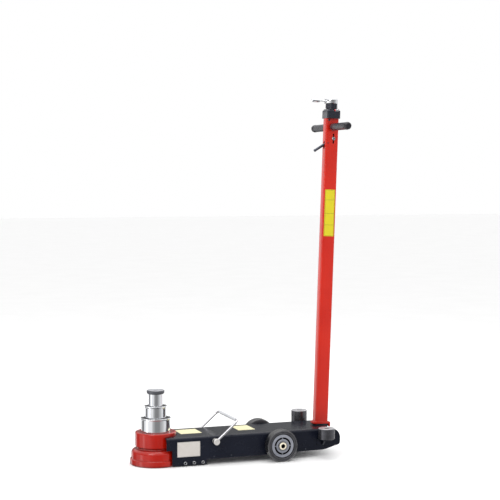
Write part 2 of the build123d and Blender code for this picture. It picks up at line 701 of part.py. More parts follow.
with BuildPart() as hand_grips:
    for sv in (-1, 1):
        with BuildSketch(mast_rad(0, 0, grip_w)):
            with BuildLine():
                p = [(bar_r, 21.0), (12.2, 21.0), (grip_r, 22.0), (grip_r, 134.0), (12.3, 135.2), (12.3, 137.0), (13.5, 138.6),
                     (13.7, 146.0), (12.9, 152.0), (10.8, 156.0), (8.0, grip_half), (0, grip_half), (0, 154.0), (bar_r, 154.0),
                     (bar_r, 21.0)]
                Polyline(*[(a, sv * b) for a, b in p])
            make_face()
        revolve(axis=Axis(mpt(0, 0, grip_w), (0, 1, 0)))
write(hand_grips, "hand_grips")

neck_w, neck_top, neck_r = 1168.0, 1187.6, 21.5
with BuildPart() as valve_body:
    with BuildSketch(MAST.offset(tube_top)):
        RectangleRounded(head_u, head_v, 5)
    extrude(amount=28.0)
    with BuildSketch(MAST.offset(tube_top + 28.0)):
        RectangleRounded(head_u, head_v, 5)
    with BuildSketch(MAST.offset(neck_w)):
        RectangleRounded(39, 41, 10)
    loft()
    with BuildSketch(MAST.offset(neck_w)):
        Circle(neck_r - 2)
    extrude(amount=2.6)
    with BuildSketch(MAST.offset(neck_w + 2.6)):
        Circle(neck_r)
    extrude(amount=neck_top - neck_w - 2.6)
    # spigot down the tube
    with BuildSketch(MAST.offset(tube_top)):
        RectangleRounded(tube_u - 2 * tube_t - 0.1, tube_v - 2 * tube_t - 0.1, 2.1)
    extrude(amount=-12)
    # pilot plug lying in the near shoulder
    with BuildSketch(Plane(origin=mpt(-0.5, -26.2, 1163.4), z_dir=(c, 0, -s))):
        Circle(4.2)
    extrude(amount=15.0)
    # lever stem bore
    with BuildSketch(MAST.offset(neck_top)):
        Circle(6.1)
    extrude(amount=-17, mode=Mode.SUBTRACT)
    # screw holes in the spigot and inlet port on the far side
    with BuildSketch(mast_side(0, -30, 0)):
        with Locations((-14, -1129.0)):
            Circle(2.0)
    extrude(amount=60, mode=Mode.SUBTRACT)
    with BuildSketch(mast_side(0, head_v / 2, 1149)):
        Circle(6.0)
    extrude(amount=-12, mode=Mode.SUBTRACT)
write(valve_body, "valve_body")

with BuildPart() as valve_screws:
    for sv in (-1, 1):
        with BuildSketch(mast_side(-14, sv * 8.0, 1129.0)):
            Circle(2.0)
        extrude(amount=sv * 8.0)
        with BuildSketch(mast_side(-14, sv * 16.0, 1129.0)):
            Circle(3.6)
        extrude(amount=sv * 1.8)
write(valve_screws, "valve_screws")

with BuildPart() as air_nipple:
    with BuildSketch(mast_side(0, head_v / 2 - 12, 1149)):
        Circle(6.0)
    extrude(amount=12)
    with BuildSketch(mast_side(0, head_v / 2, 1149)):
        RegularPolygon(8.6, 6)
    extrude(amount=7)
    with BuildSketch(mast_rad(0, 0, 1149)):
        with BuildLine():
            Polyline((0, 35), (6.4, 35), (6.4, 40), (5.9, 40.6), (5.9, 52.0), (4.5, 53.2), (4.5, 55.4), (5.2, 56.0), (5.2, 57.2), (4.4, 58.0),
                     (0, 58.0), (0, 35))
        make_face()
    revolve(axis=Axis(mpt(0, 0, 1149), (0, 1, 0)))
    with BuildSketch(mast_side(0, 58.0, 1149)):
        Circle(2.4)
    extrude(amount=-42, mode=Mode.SUBTRACT)
write(air_nipple, "air_nipple")

with BuildPart() as air_hose_mast:
    with BuildSketch(MAST.offset(flange_w1)):
        with Locations((16, 8.5)):
            Circle(3.5)
            Circle(2.2, mode=Mode.SUBTRACT)
    extrude(amount=tube_top - 12 - flange_w1)
write(air_hose_mast, "air_hose_mast")

with BuildPart() as mast_label:
    with BuildSketch(mast_side(-0.5, -tube_v / 2, 799.5)):
        RectangleRounded(38, 166, 1.5)
    extrude(amount=-0.5)
write(mast_label, "mast_label")

# ---------------------------------------------------------------------------
# Control lever on the air valve (turns about the mast axis)
# ---------------------------------------------------------------------------
lev_w = 1196.6
with BuildPart() as air_lever:
    with BuildSketch(Plane(origin=mpt(0, 0, 0), x_dir=(c, 0, -s), z_dir=(0, -1, 0))):
        with BuildLine():
            Polyline((0, neck_top - 15), (6.0, neck_top - 15), (6.0, neck_top + 0.3), (25.0, neck_top + 0.3),
                     (26.5, neck_top + 1.8), (26.5, 1201.0), (25.6, 1203.0), (23.0, 1204.4), (6.0, 1204.9), (0, 1204.9),
                     (0, neck_top - 15))
        make_face()
    revolve(axis=Axis(mpt(0, 0, 0), (s, 0, c)))
    # skirt lobe over the rear of the neck
    with BuildSketch(MAST.offset(neck_top + 5)):
        with BuildLine():
            ro, ri = 26.3, 22.2
            l1, lm, l2 = math.radians(-66), math.radians(-25), math.radians(16)
            q1, qm, q2 = [(ro * math.cos(t), ro * math.sin(t)) for t in (l1, lm, l2)]
            q3, qn, q4 = [(ri * math.cos(t), ri * math.sin(t)) for t in (l2, lm, l1)]
            ThreePointArc(q1, qm, q2)
            Line(q2, q3)
            ThreePointArc(q3, qn, q4)
            Line(q4, q1)
        make_face()
    extrude(amount=-19.5)
    # arm and barrel grip
    with BuildSketch(Plane(origin=mpt(0, 0, lev_w), x_dir=(s, 0, c), z_dir=(0, 1, 0))):
        with BuildLine():
            Polyline((0, -24.0), (2.5, -24.0), (2.3, -45.0), (4.6, -46.5), (6.2, -49.0), (6.7, -56.0), (6.9, -66.0), (6.4, -72.5))
            ThreePointArc((6.4, -72.5), (5.0, -75.2), (2.2, -76.4))
            Polyline((2.2, -76.4), (0, -76.4), (0, -24.0))
        make_face()
    revolve(axis=Axis(mpt(0, 0, lev_w), (c, 0, -s)))
write(air_lever, "air_lever")

# ---------------------------------------------------------------------------
# Mast clamp: lever, rod and shoe
# ---------------------------------------------------------------------------
la = math.atan2(bolt_w - ful_w, slot_u - ful_u)
cl, sl = math.cos(la), math.sin(la)


def lpt(t, q):
    """Point on the clamp lever: t along it from the fulcrum, q square to it."""
    return (ful_u + t * cl - q * sl, -(ful_w + t * sl + q * cl))


with BuildPart() as clamp_lever:
    # flat tongue over the cross bolt
    reach = math.hypot(slot_u - ful_u, bolt_w - ful_w)
    with BuildSketch(mast_side(0, -3, 0)):
        with BuildLine():
            Polyline(lpt(-3, -5), lpt(reach + 9.5, -5), lpt(reach + 12, -2.5), lpt(reach + 12, 2.5), lpt(reach + 9.5, 5), lpt(-3, 5), lpt(-3, -5))
        make_face()
        with BuildLine():
            Polyline(lpt(reach - 4, -3.3), lpt(reach + 9.2, -3.3), lpt(reach + 9.2, 3.3), lpt(reach - 4, 3.3), lpt(reach - 4, -3.3))
        make_face(mode=Mode.SUBTRACT)
    extrude(amount=6)
    # round arm out of the front window
    arm = math.hypot(ful_u - tip_u, ful_w - tip_w)
    au, aw = (tip_u - ful_u) / arm, (tip_w - ful_w) / arm
    with BuildSketch(Plane(origin=mpt(ful_u, 0, ful_w), z_dir=(au * c + aw * s, 0, -au * s + aw * c))):
        Circle(3.9)
    extrude(amount=arm)
    fillet(clamp_lever.edges().filter_by(GeomType.CIRCLE).sort_by(Axis.X)[0], radius=3.5)
    # trunnion that turns in the tube walls
    with BuildSketch(mast_side(ful_u, -16.4, ful_w)):
        Circle(2.0)
    extrude(amount=32.8)
write(clamp_lever, "clamp_lever")

with BuildPart() as clamp_rod:
    # fork at the top, rod and shoe in one line
    with BuildSketch(MAST.offset(1035)):
        with Locations((slot_u, 0)):
            Rectangle(12, 20)
    extrude(amount=38)
    with BuildSketch(MAST.offset(1040)):
        with Locations((slot_u, 0)):
            Rectangle(14, 8)
    extrude(amount=40, mode=Mode.SUBTRACT)
    with BuildSketch(mast_side(slot_u, -20, bolt_w)):
        Circle(2.5)
    extrude(amount=40, mode=Mode.SUBTRACT)
    with BuildSketch(MAST.offset(33)):
        with Locations((slot_u, 0)):
            Circle(4.0)
    extrude(amount=1035 - 33)
write(clamp_rod, "clamp_rod")

# coil spring between the fork and the grip bar keeps the clamp down
with BuildPart() as clamp_spring:
    with BuildLine() as coil:
        Helix(pitch=4.2, height=17.6, radius=6.4, center=mpt(slot_u, 0, 1075.4), direction=(s, 0, c))
    with BuildSketch(Plane(origin=coil.line @ 0, z_dir=coil.line % 0)):
        Circle(0.8)
    sweep()
write(clamp_spring, "clamp_spring")

with BuildPart() as clamp_shoe:
    with BuildSketch(mast_side(0, -6.5, 0)):
        with BuildLine():
            Polyline((-9, -34), (19, -34), (19, -12), (-9, -12), (-9, -34))
        make_face()
        Circle(drum_r + 0.4, mode=Mode.SUBTRACT)
    extrude(amount=13)
    with BuildSketch(MAST.offset(33)):
        with Locations((slot_u, 0)):
            Circle(4.0)
    extrude(amount=3, mode=Mode.SUBTRACT)
write(clamp_shoe, "clamp_shoe")

with BuildPart() as clamp_bolt:
    with BuildSketch(mast_side(slot_u, -tube_v / 2 - 0.3, bolt_w)):
        Circle(2.5)
    extrude(amount=tube_v + 0.6)
    with BuildSketch(mast_side(slot_u, -tube_v / 2 - 0.3, bolt_w)):
        Circle(6.0)
    extrude(amount=-3.2)
    with BuildSketch(mast_side(slot_u, -tube_v / 2 - 3.5, bolt_w)):
        RegularPolygon(2.6, 6)
    extrude(amount=1.8, mode=Mode.SUBTRACT)
    with BuildSketch(mast_side(slot_u, tube_v / 2 + 0.3, bolt_w)):
        RegularPolygon(5.0, 6)
    extrude(amount=4.0)
write(clamp_bolt, "clamp_bolt")

# ---------------------------------------------------------------------------
# Blank plates and labels
# ---------------------------------------------------------------------------
with BuildPart() as blank_labels:
    with BuildSketch(Plane.XZ.offset(side_y)):
        with Locations((91.0, 58.5)):
            RectangleRounded(81, 51, 1.5)
    extrude(amount=0.6)
    with BuildSketch(Plane.XY.offset(deck_z)):
        with Locations((122.5, 20)):
            RectangleRounded(76, 80, 1.5)
        with Locations((326, 22.5)):
            RectangleRounded(62, 86, 1.5)
    extrude(amount=0.4)
write(blank_labels, "blank_labels")
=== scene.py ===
import math
import random
import bpy
import bmesh
from mathutils import Matrix, Vector


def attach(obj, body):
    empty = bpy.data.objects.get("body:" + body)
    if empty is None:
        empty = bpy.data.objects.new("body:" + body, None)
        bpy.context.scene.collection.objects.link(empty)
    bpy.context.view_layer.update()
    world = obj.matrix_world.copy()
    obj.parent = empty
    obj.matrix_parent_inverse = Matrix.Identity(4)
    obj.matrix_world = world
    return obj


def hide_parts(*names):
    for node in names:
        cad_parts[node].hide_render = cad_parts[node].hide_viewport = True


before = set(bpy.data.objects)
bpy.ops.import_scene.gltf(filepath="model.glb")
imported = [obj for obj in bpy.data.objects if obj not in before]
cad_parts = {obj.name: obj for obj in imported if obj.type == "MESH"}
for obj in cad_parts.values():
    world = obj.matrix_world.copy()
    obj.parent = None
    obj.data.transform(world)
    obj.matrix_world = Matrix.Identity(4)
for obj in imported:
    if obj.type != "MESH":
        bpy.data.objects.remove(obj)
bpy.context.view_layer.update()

random.seed(7)
MM = 0.001
rad = math.radians
COL = bpy.context.scene.collection

# ---------------------------------------------------------------------------
# mesh helpers: millimetres in, metres out
# ---------------------------------------------------------------------------


def finish_mesh(name, bm, mats, body, nodes=(), angle=32, bevel=0, bseg=2, solid=0, blimit=40, recalc=True):
    if recalc:
        bmesh.ops.recalc_face_normals(bm, faces=bm.faces[:])
    for f in bm.faces:
        f.smooth = True
    me = bpy.data.meshes.new(name)
    bm.to_mesh(me)
    bm.free()
    me.transform(Matrix.Scale(MM, 4))
    ob = bpy.data.objects.new(name, me)
    COL.objects.link(ob)
    for m in (mats if isinstance(mats, (list, tuple)) else [mats]):
        me.materials.append(m)
    if solid:
        md = ob.modifiers.new("Solid", "SOLIDIFY")
        md.thickness = abs(solid) * MM
        md.offset = -1 if solid > 0 else 1
        md.use_even_offset = True
        md.use_quality_normals = True
    if bevel:
        md = ob.modifiers.new("Bevel", "BEVEL")
        md.width = bevel * MM
        md.segments = bseg
        md.limit_method = "ANGLE"
        md.angle_limit = rad(blimit)
        md.harden_normals = True
        md.use_clamp_overlap = False
        md.miter_outer = "MITER_ARC"
    elif angle:
        me.set_sharp_from_angle(angle=rad(angle))
    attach(ob, body)
    if nodes:
        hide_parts(*nodes)
    return ob


def V(p):
    return Vector((p[0], p[1], p[2] if len(p) > 2 else 0.0))


def arc3(a, b, c, n=10):
    """n+1 points on the circle through a, b, c, from a to c (2-D)."""
    ax, ay, bx, by, cx, cy = a[0], a[1], b[0], b[1], c[0], c[1]
    d = 2 * (ax * (by - cy) + bx * (cy - ay) + cx * (ay - by))
    ux = ((ax * ax + ay * ay) * (by - cy) + (bx * bx + by * by) * (cy - ay) + (cx * cx + cy * cy) * (ay - by)) / d
    uy = ((ax * ax + ay * ay) * (cx - bx) + (bx * bx + by * by) * (ax - cx) + (cx * cx + cy * cy) * (bx - ax)) / d
    r = math.hypot(ax - ux, ay - uy)
    t0, t1, t2 = (math.atan2(p[1] - uy, p[0] - ux) for p in (a, b, c))
    while t1 < t0:
        t1 += 2 * math.pi
    while t2 < t0:
        t2 += 2 * math.pi
    if t1 > t2:
        t2 -= 2 * math.pi
    return [(ux + r * math.cos(t0 + (t2 - t0) * i / n), uy + r * math.sin(t0 + (t2 - t0) * i / n)) for i in range(n + 1)]


def rnd(pts, closed=True, n=5):
    """Round the corners of a 2-D polyline; each point is (x, y) or (x, y, radius)."""
    out = []
    m = len(pts)
    for i, p in enumerate(pts):
        r = p[2] if len(p) > 2 else 0
        if not r or (not closed and i in (0, m - 1)):
            out.append((p[0], p[1]))
            continue
        P = Vector((p[0], p[1]))
        A = Vector(pts[i - 1][:2]) - P
        B = Vector(pts[(i + 1) % m][:2]) - P
        la, lb = A.length, B.length
        if la < 1e-6 or lb < 1e-6:
            out.append((p[0], p[1]))
            continue
        A.normalize()
        B.normalize()
        ang = math.acos(max(-1, min(1, A.dot(B))))
        if ang > math.pi - 0.02:
            out.append((p[0], p[1]))
            continue
        t = min(r / math.tan(ang / 2), la * 0.49, lb * 0.49)
        rr = t * math.tan(ang / 2)
        bis = (A + B).normalized()
        C = P + bis * (rr / math.sin(ang / 2))
        a0 = P + A * t - C
        b0 = P + B * t - C
        t0, t1 = math.atan2(a0.y, a0.x), math.atan2(b0.y, b0.x)
        dt = (t1 - t0 + math.pi) % (2 * math.pi) - math.pi
        k = max(2, int(round(n * abs(dt) / (math.pi / 2))) + 1)
        for j in range(k + 1):
            tt = t0 + dt * j / k
            out.append((C.x + rr * math.cos(tt), C.y + rr * math.sin(tt)))
    return out


def circ(cx, cy, r, n=32):
    return [(cx + r * math.cos(2 * math.pi * i / n), cy + r * math.sin(2 * math.pi * i / n)) for i in range(n)]


def rrect(cx, cy, w, h, r, n=4):
    return rnd([(cx - w / 2, cy - h / 2, r), (cx + w / 2, cy - h / 2, r), (cx + w / 2, cy + h / 2, r), (cx - w / 2, cy + h / 2, r)], n=n)


def hexagon(cx, cy, r, rot=0):
    return [(cx + r * math.cos(rot + i * math.pi / 3), cy + r * math.sin(rot + i * math.pi / 3)) for i in range(6)]


def fr(origin, x, z):
    """Local frame: x and z axes given, origin in mm."""
    x, z = Vector(x).normalized(), Vector(z).normalized()
    y = z.cross(x)
    m = Matrix((x, y, z)).transposed().to_4x4()
    m.translation = Vector(origin)
    return m


def lathe_bm(prof, seg=128, frame_=None, closed=True, matfn=None, bm=None, a0=0.0, uneven=None):
    bm = bm or bmesh.new()
    F = frame_ or Matrix()
    rings = []
    for (r, z) in prof:
        if abs(r) < 1e-6:
            rings.append([bm.verts.new(F @ Vector((0, 0, z)))])
        else:
            rings.append([bm.verts.new(F @ Vector((r * math.cos(a0 + 2 * math.pi * k / seg), r * math.sin(a0 + 2 * math.pi * k / seg), z))) for k in range(seg)])
    idx = list(range(len(prof)))
    pairs = list(zip(idx[:-1], idx[1:])) + ([(idx[-1], idx[0])] if closed else [])
    for i, j in pairs:
        A, B = rings[i], rings[j]
        mi = matfn((prof[i][0] + prof[j][0]) / 2, (prof[i][1] + prof[j][1]) / 2) if matfn else 0
        if len(A) == 1 and len(B) == 1:
            continue
        for k in range(seg):
            k2 = (k + 1) % seg
            if len(A) == 1:
                f = bm.faces.new((A[0], B[k2], B[k]))
            elif len(B) == 1:
                f = bm.faces.new((A[k], A[k2], B[0]))
            else:
                f = bm.faces.new((A[k], A[k2], B[k2], B[k]))
            f.material_index = mi
    return bm


def lathe(name, prof, mats, body, nodes=(), seg=128, frame_=None, closed=True, matfn=None, n=5, angle=32):
    pts = rnd(prof, closed=closed, n=n)
    out = [pts[0]]
    for p in pts[1:]:
        if math.hypot(p[0] - out[-1][0], p[1] - out[-1][1]) > 1e-4:
            out.append(p)
    if closed and math.hypot(out[0][0] - out[-1][0], out[0][1] - out[-1][1]) < 1e-4:
        out.pop()
    bm = lathe_bm(out, seg, frame_, closed, matfn)
    bmesh.ops.remove_doubles(bm, verts=bm.verts[:], dist=1e-4)
    return finish_mesh(name, bm, mats, body, nodes, angle=angle)


def fill2d(bm, loops):
    edges = []
    for lp in loops:
        vs = [bm.verts.new((p[0], p[1], 0)) for p in lp]
        for i in range(len(vs)):
            edges.append(bm.edges.new((vs[i], vs[(i + 1) % len(vs)])))
    bmesh.ops.triangle_fill(bm, use_beauty=True, use_dissolve=False, edges=edges, normal=(0, 0, 1))
    for f in bm.faces:
        if f.normal.z < 0:
            f.normal_flip()


def plate_bm(loops, z0, z1, frame_=None, mi=0, bm=None):
    """Flat plate between local heights z0 and z1."""
    F = frame_ or Matrix()
    b = bmesh.new()
    fill2d(b, loops)
    top = b.faces[:]
    res = bmesh.ops.extrude_face_region(b, geom=top)
    vs = [v for v in res["geom"] if isinstance(v, bmesh.types.BMVert)]
    lower = [v for v in b.verts if v not in set(vs)]
    for v in vs:
        v.co.z = z1
    for v in lower:
        v.co.z = z0
    bmesh.ops.recalc_face_normals(b, faces=b.faces[:])
    for v in b.verts:
        v.co = F @ v.co
    for f in b.faces:
        f.material_index = mi
    if bm is None:
        return b
    me = bpy.data.meshes.new("tmp")
    b.to_mesh(me)
    b.free()
    bm.from_mesh(me)
    bpy.data.meshes.remove(me)
    return bm


def plate(name, loops, z0, z1, mats, body, nodes=(), frame_=None, bevel=0.4, bseg=2):
    return finish_mesh(name, plate_bm(loops, z0, z1, frame_), mats, body, nodes, bevel=bevel, bseg=bseg)


def wrap_bm(loops, table, place):
    """Sheet cut flat in (a, s) and folded: table is [(s, (p, q))...], place(a, p, q) gives the point."""
    b = bmesh.new()
    fill2d(b, loops)
    smin = min(v.co.y for v in b.verts)
    smax = max(v.co.y for v in b.verts)
    for s_, _ in table:
        if smin + 1e-4 < s_ < smax - 1e-4:
            bmesh.ops.bisect_plane(b, geom=b.verts[:] + b.edges[:] + b.faces[:], dist=1e-5, plane_co=(0, s_, 0), plane_no=(0, 1, 0))

    def at(s_):
        for (sa, pa), (sb, pb) in zip(table, table[1:]):
            if s_ <= sb + 1e-6:
                t = (s_ - sa) / (sb - sa)
                return pa[0] + (pb[0] - pa[0]) * t, pa[1] + (pb[1] - pa[1]) * t
        return table[-1][1]

    for v in b.verts:
        p, q = at(v.co.y)
        v.co = Vector(place(v.co.x, p, q))
    bmesh.ops.remove_doubles(b, verts=b.verts[:], dist=1e-3)
    return b


def path_table(pts):
    s_ = 0.0
    out = [(0.0, pts[0])]
    for a, b in zip(pts, pts[1:]):
        s_ += math.hypot(b[0] - a[0], b[1] - a[1])
        out.append((s_, b))
    return out


def tube_bm(path, rfn, seg=20, cap=True, bm=None, up=None):
    """Round bar along a list of 3-D points; rfn(i, t) gives the radius."""
    bm = bm or bmesh.new()
    P = [Vector(p) for p in path]
    N = len(P)
    T = []
    for i in range(N):
        a, b = P[max(0, i - 1)], P[min(N - 1, i + 1)]
        T.append((b - a).normalized())
    u = (up or Vector((0.123, 0.456, 0.789))).copy()
    u = (u - T[0] * u.dot(T[0])).normalized()
    rings = []
    tot = sum((P[i + 1] - P[i]).length for i in range(N - 1))
    L = 0.0
    for i in range(N):
        if i:
            L += (P[i] - P[i - 1]).length
            u = (u - T[i] * u.dot(T[i])).normalized()
        w = T[i].cross(u)
        r = rfn(L, tot)
        rings.append([bm.verts.new(P[i] + u * (r * math.cos(2 * math.pi * k / seg)) + w * (r * math.sin(2 * math.pi * k / seg))) for k in range(seg)])
    for A, B in zip(rings, rings[1:]):
        for k in range(seg):
            bm.faces.new((A[k], A[(k + 1) % seg], B[(k + 1) % seg], B[k]))
    if cap:
        bm.faces.new(rings[0][::-1])
        bm.faces.new(rings[-1])
    return bm


def loft_bm(loops3d, cap0=True, cap1=True, bm=None, mi=0):
    bm = bm or bmesh.new()
    rings = [[bm.verts.new(p) for p in lp] for lp in loops3d]
    n = len(rings[0])
    for A, B in zip(rings, rings[1:]):
        for k in range(n):
            f = bm.faces.new((A[k], A[(k + 1) % n], B[(k + 1) % n], B[k]))
            f.material_index = mi
    if cap0:
        bm.faces.new(rings[0][::-1]).material_index = mi
    if cap1:
        bm.faces.new(rings[-1]).material_index = mi
    return bm


def superloop(w, h, r, n=72):
    """Rounded rectangle sampled by direction so that loops of any shape match point for point."""
    out = []
    for i in range(n):
        t = 2 * math.pi * (i + 0.5) / n
        dx, dy = math.cos(t), math.sin(t)
        hw, hh = w / 2, h / 2
        k = min(hw / abs(dx) if abs(dx) > 1e-9 else 1e9, hh / abs(dy) if abs(dy) > 1e-9 else 1e9)
        x, y = dx * k, dy * k
        cx, cy = hw - r, hh - r
        if abs(x) > cx and abs(y) > cy and r > 0:
            # meet the corner arc along the same ray
            ox, oy = math.copysign(cx, dx), math.copysign(cy, dy)
            bq = dx * ox + dy * oy
            cq = ox * ox + oy * oy - r * r
            k = bq + math.sqrt(max(0.0, bq * bq - cq))
            x, y = dx * k, dy * k
        out.append((x, y))
    return out


def join_into(bm, other):
    me = bpy.data.meshes.new("tmp")
    other.to_mesh(me)
    other.free()
    bm.from_mesh(me)
    bpy.data.meshes.remove(me)
    return bm


# ---------------------------------------------------------------------------
# material helpers
# ---------------------------------------------------------------------------


def lin(r, g, b):
    def f(x):
        x /= 255.0
        return x / 12.92 if x <= 0.04045 else ((x + 0.055) / 1.055) ** 2.4
    return (f(r), f(g), f(b), 1.0)


class Mat:
    def __init__(self, name):
        self.m = bpy.data.materials.new(name)
        self.m.use_nodes = True
        self.t = self.m.node_tree
        self.t.nodes.clear()
        self.out = self.t.nodes.new("ShaderNodeOutputMaterial")
        self.b = self.t.nodes.new("ShaderNodeBsdfPrincipled")
        self.t.links.new(self.b.outputs[0], self.out.inputs[0])
        self.tc = self.t.nodes.new("ShaderNodeTexCoord")
        self.co = self.tc.outputs["Object"]
        self.h = None

    def n(self, kind, **kw):
        node = self.t.nodes.new(kind)
        for k, v in kw.items():
            if hasattr(node, k) and not isinstance(node.inputs.get(k) if hasattr(node.inputs, "get") else None, bpy.types.NodeSocket):
                setattr(node, k, v)
            else:
                self.set(node.inputs[k], v)
        return node

    def set(self, sock, v):
        if isinstance(v, bpy.types.NodeSocket):
            self.t.links.new(v, sock)
        else:
            sock.default_value = v

    def math(self, op, a, b=0.0, c=0.0, clamp=False):
        n = self.t.nodes.new("ShaderNodeMath")
        n.operation = op
        n.use_clamp = clamp
        for s_, v in zip(n.inputs, (a, b, c)):
            self.set(s_, v)
        return n.outputs[0]

    def noise(self, scale, detail=3, rough=0.5, vec=None, dist=0.0, dims="3D"):
        n = self.t.nodes.new("ShaderNodeTexNoise")
        n.noise_dimensions = dims
        self.set(n.inputs["Vector"], vec or self.co)
        n.inputs["Scale"].default_value = scale
        n.inputs["Detail"].default_value = detail
        n.inputs["Roughness"].default_value = rough
        n.inputs["Distortion"].default_value = dist
        return n.outputs["Fac"]

    def stretch(self, sx, sy, sz, vec=None, rot=(0, 0, 0)):
        n = self.t.nodes.new("ShaderNodeMapping")
        n.inputs["Scale"].default_value = (sx, sy, sz)
        n.inputs["Rotation"].default_value = rot
        self.set(n.inputs["Vector"], vec or self.co)
        return n.outputs[0]

    def ramp(self, fac, stops, interp="LINEAR"):
        n = self.t.nodes.new("ShaderNodeValToRGB")
        n.color_ramp.interpolation = interp
        e = n.color_ramp.elements
        while len(e) < len(stops):
            e.new(0.5)
        for el, (p, c) in zip(e, stops):
            el.position = p
            el.color = c if len(c) == 4 else (c[0], c[1], c[2], 1)
        self.set(n.inputs[0], fac)
        return n.outputs[0]

    def mapr(self, v, a, b, c, d, smooth=False):
        n = self.t.nodes.new("ShaderNodeMapRange")
        n.interpolation_type = "SMOOTHSTEP" if smooth else "LINEAR"
        n.clamp = True
        self.set(n.inputs["Value"], v)
        for k, x in zip(("From Min", "From Max", "To Min", "To Max"), (a, b, c, d)):
            n.inputs[k].default_value = x
        return n.outputs[0]

    def mix(self, fac, a, b, blend="MIX"):
        n = self.t.nodes.new("ShaderNodeMix")
        n.data_type = "RGBA"
        n.blend_type = blend
        n.clamp_factor = True
        self.set(n.inputs[0], fac)
        self.set(n.inputs[6], a)
        self.set(n.inputs[7], b)
        return n.outputs[2]

    def xyz(self, vec=None):
        n = self.t.nodes.new("ShaderNodeSeparateXYZ")
        self.set(n.inputs[0], vec or self.co)
        return n.outputs

    def vec(self, x, y, z):
        n = self.t.nodes.new("ShaderNodeCombineXYZ")
        for s_, v in zip(n.inputs, (x, y, z)):
            self.set(s_, v)
        return n.outputs[0]

    def bump(self, h, dist, strength=1.0):
        n = self.t.nodes.new("ShaderNodeBump")
        n.inputs["Distance"].default_value = dist
        n.inputs["Strength"].default_value = strength
        self.set(n.inputs["Height"], h)
        if self.h is not None:
            self.t.links.new(self.h, n.inputs["Normal"])
        self.h = n.outputs[0]
        self.t.links.new(self.h, self.b.inputs["Normal"])

    def edge(self, radius=0.0012, lo=0.02, hi=0.25):
        """1 on convex and concave edges, 0 on open faces, from the difference the bevel shader makes."""
        n = self.t.nodes.new("ShaderNodeBevel")
        n.samples = 4
        n.inputs["Radius"].default_value = radius
        g = self.t.nodes.new("ShaderNodeNewGeometry")
        d = self.t.nodes.new("ShaderNodeVectorMath")
        d.operation = "DOT_PRODUCT"
        self.t.links.new(n.outputs[0], d.inputs[0])
        self.t.links.new(g.outputs["Normal"], d.inputs[1])
        return self.mapr(self.math("SUBTRACT", 1.0, d.outputs["Value"]), lo, hi, 0.0, 1.0)

    def p(self, **kw):
        for k, v in kw.items():
            key = {"color": "Base Color", "rough": "Roughness", "metal": "Metallic", "spec": "Specular IOR Level", "coat": "Coat Weight",
                   "coat_rough": "Coat Roughness", "ior": "IOR", "sheen": "Sheen Weight", "aniso": "Anisotropic"}[k]
            self.set(self.b.inputs[key], v)
        return self


def local_axis(M_, origin, axis):
    """Radius from and height along an axis given in metres, as node sockets."""
    o = M_.t.nodes.new("ShaderNodeVectorMath")
    o.operation = "SUBTRACT"
    M_.set(o.inputs[0], M_.co)
    o.inputs[1].default_value = origin
    d = M_.t.nodes.new("ShaderNodeVectorMath")
    d.operation = "DOT_PRODUCT"
    M_.t.links.new(o.outputs[0], d.inputs[0])
    d.inputs[1].default_value = axis
    h = d.outputs["Value"]
    ln = M_.t.nodes.new("ShaderNodeVectorMath")
    ln.operation = "LENGTH"
    M_.t.links.new(o.outputs[0], ln.inputs[0])
    r2 = M_.math("SUBTRACT", M_.math("MULTIPLY", ln.outputs["Value"], ln.outputs["Value"]), M_.math("MULTIPLY", h, h))
    r = M_.math("SQRT", M_.math("MAXIMUM", r2, 0.0))
    return r, h


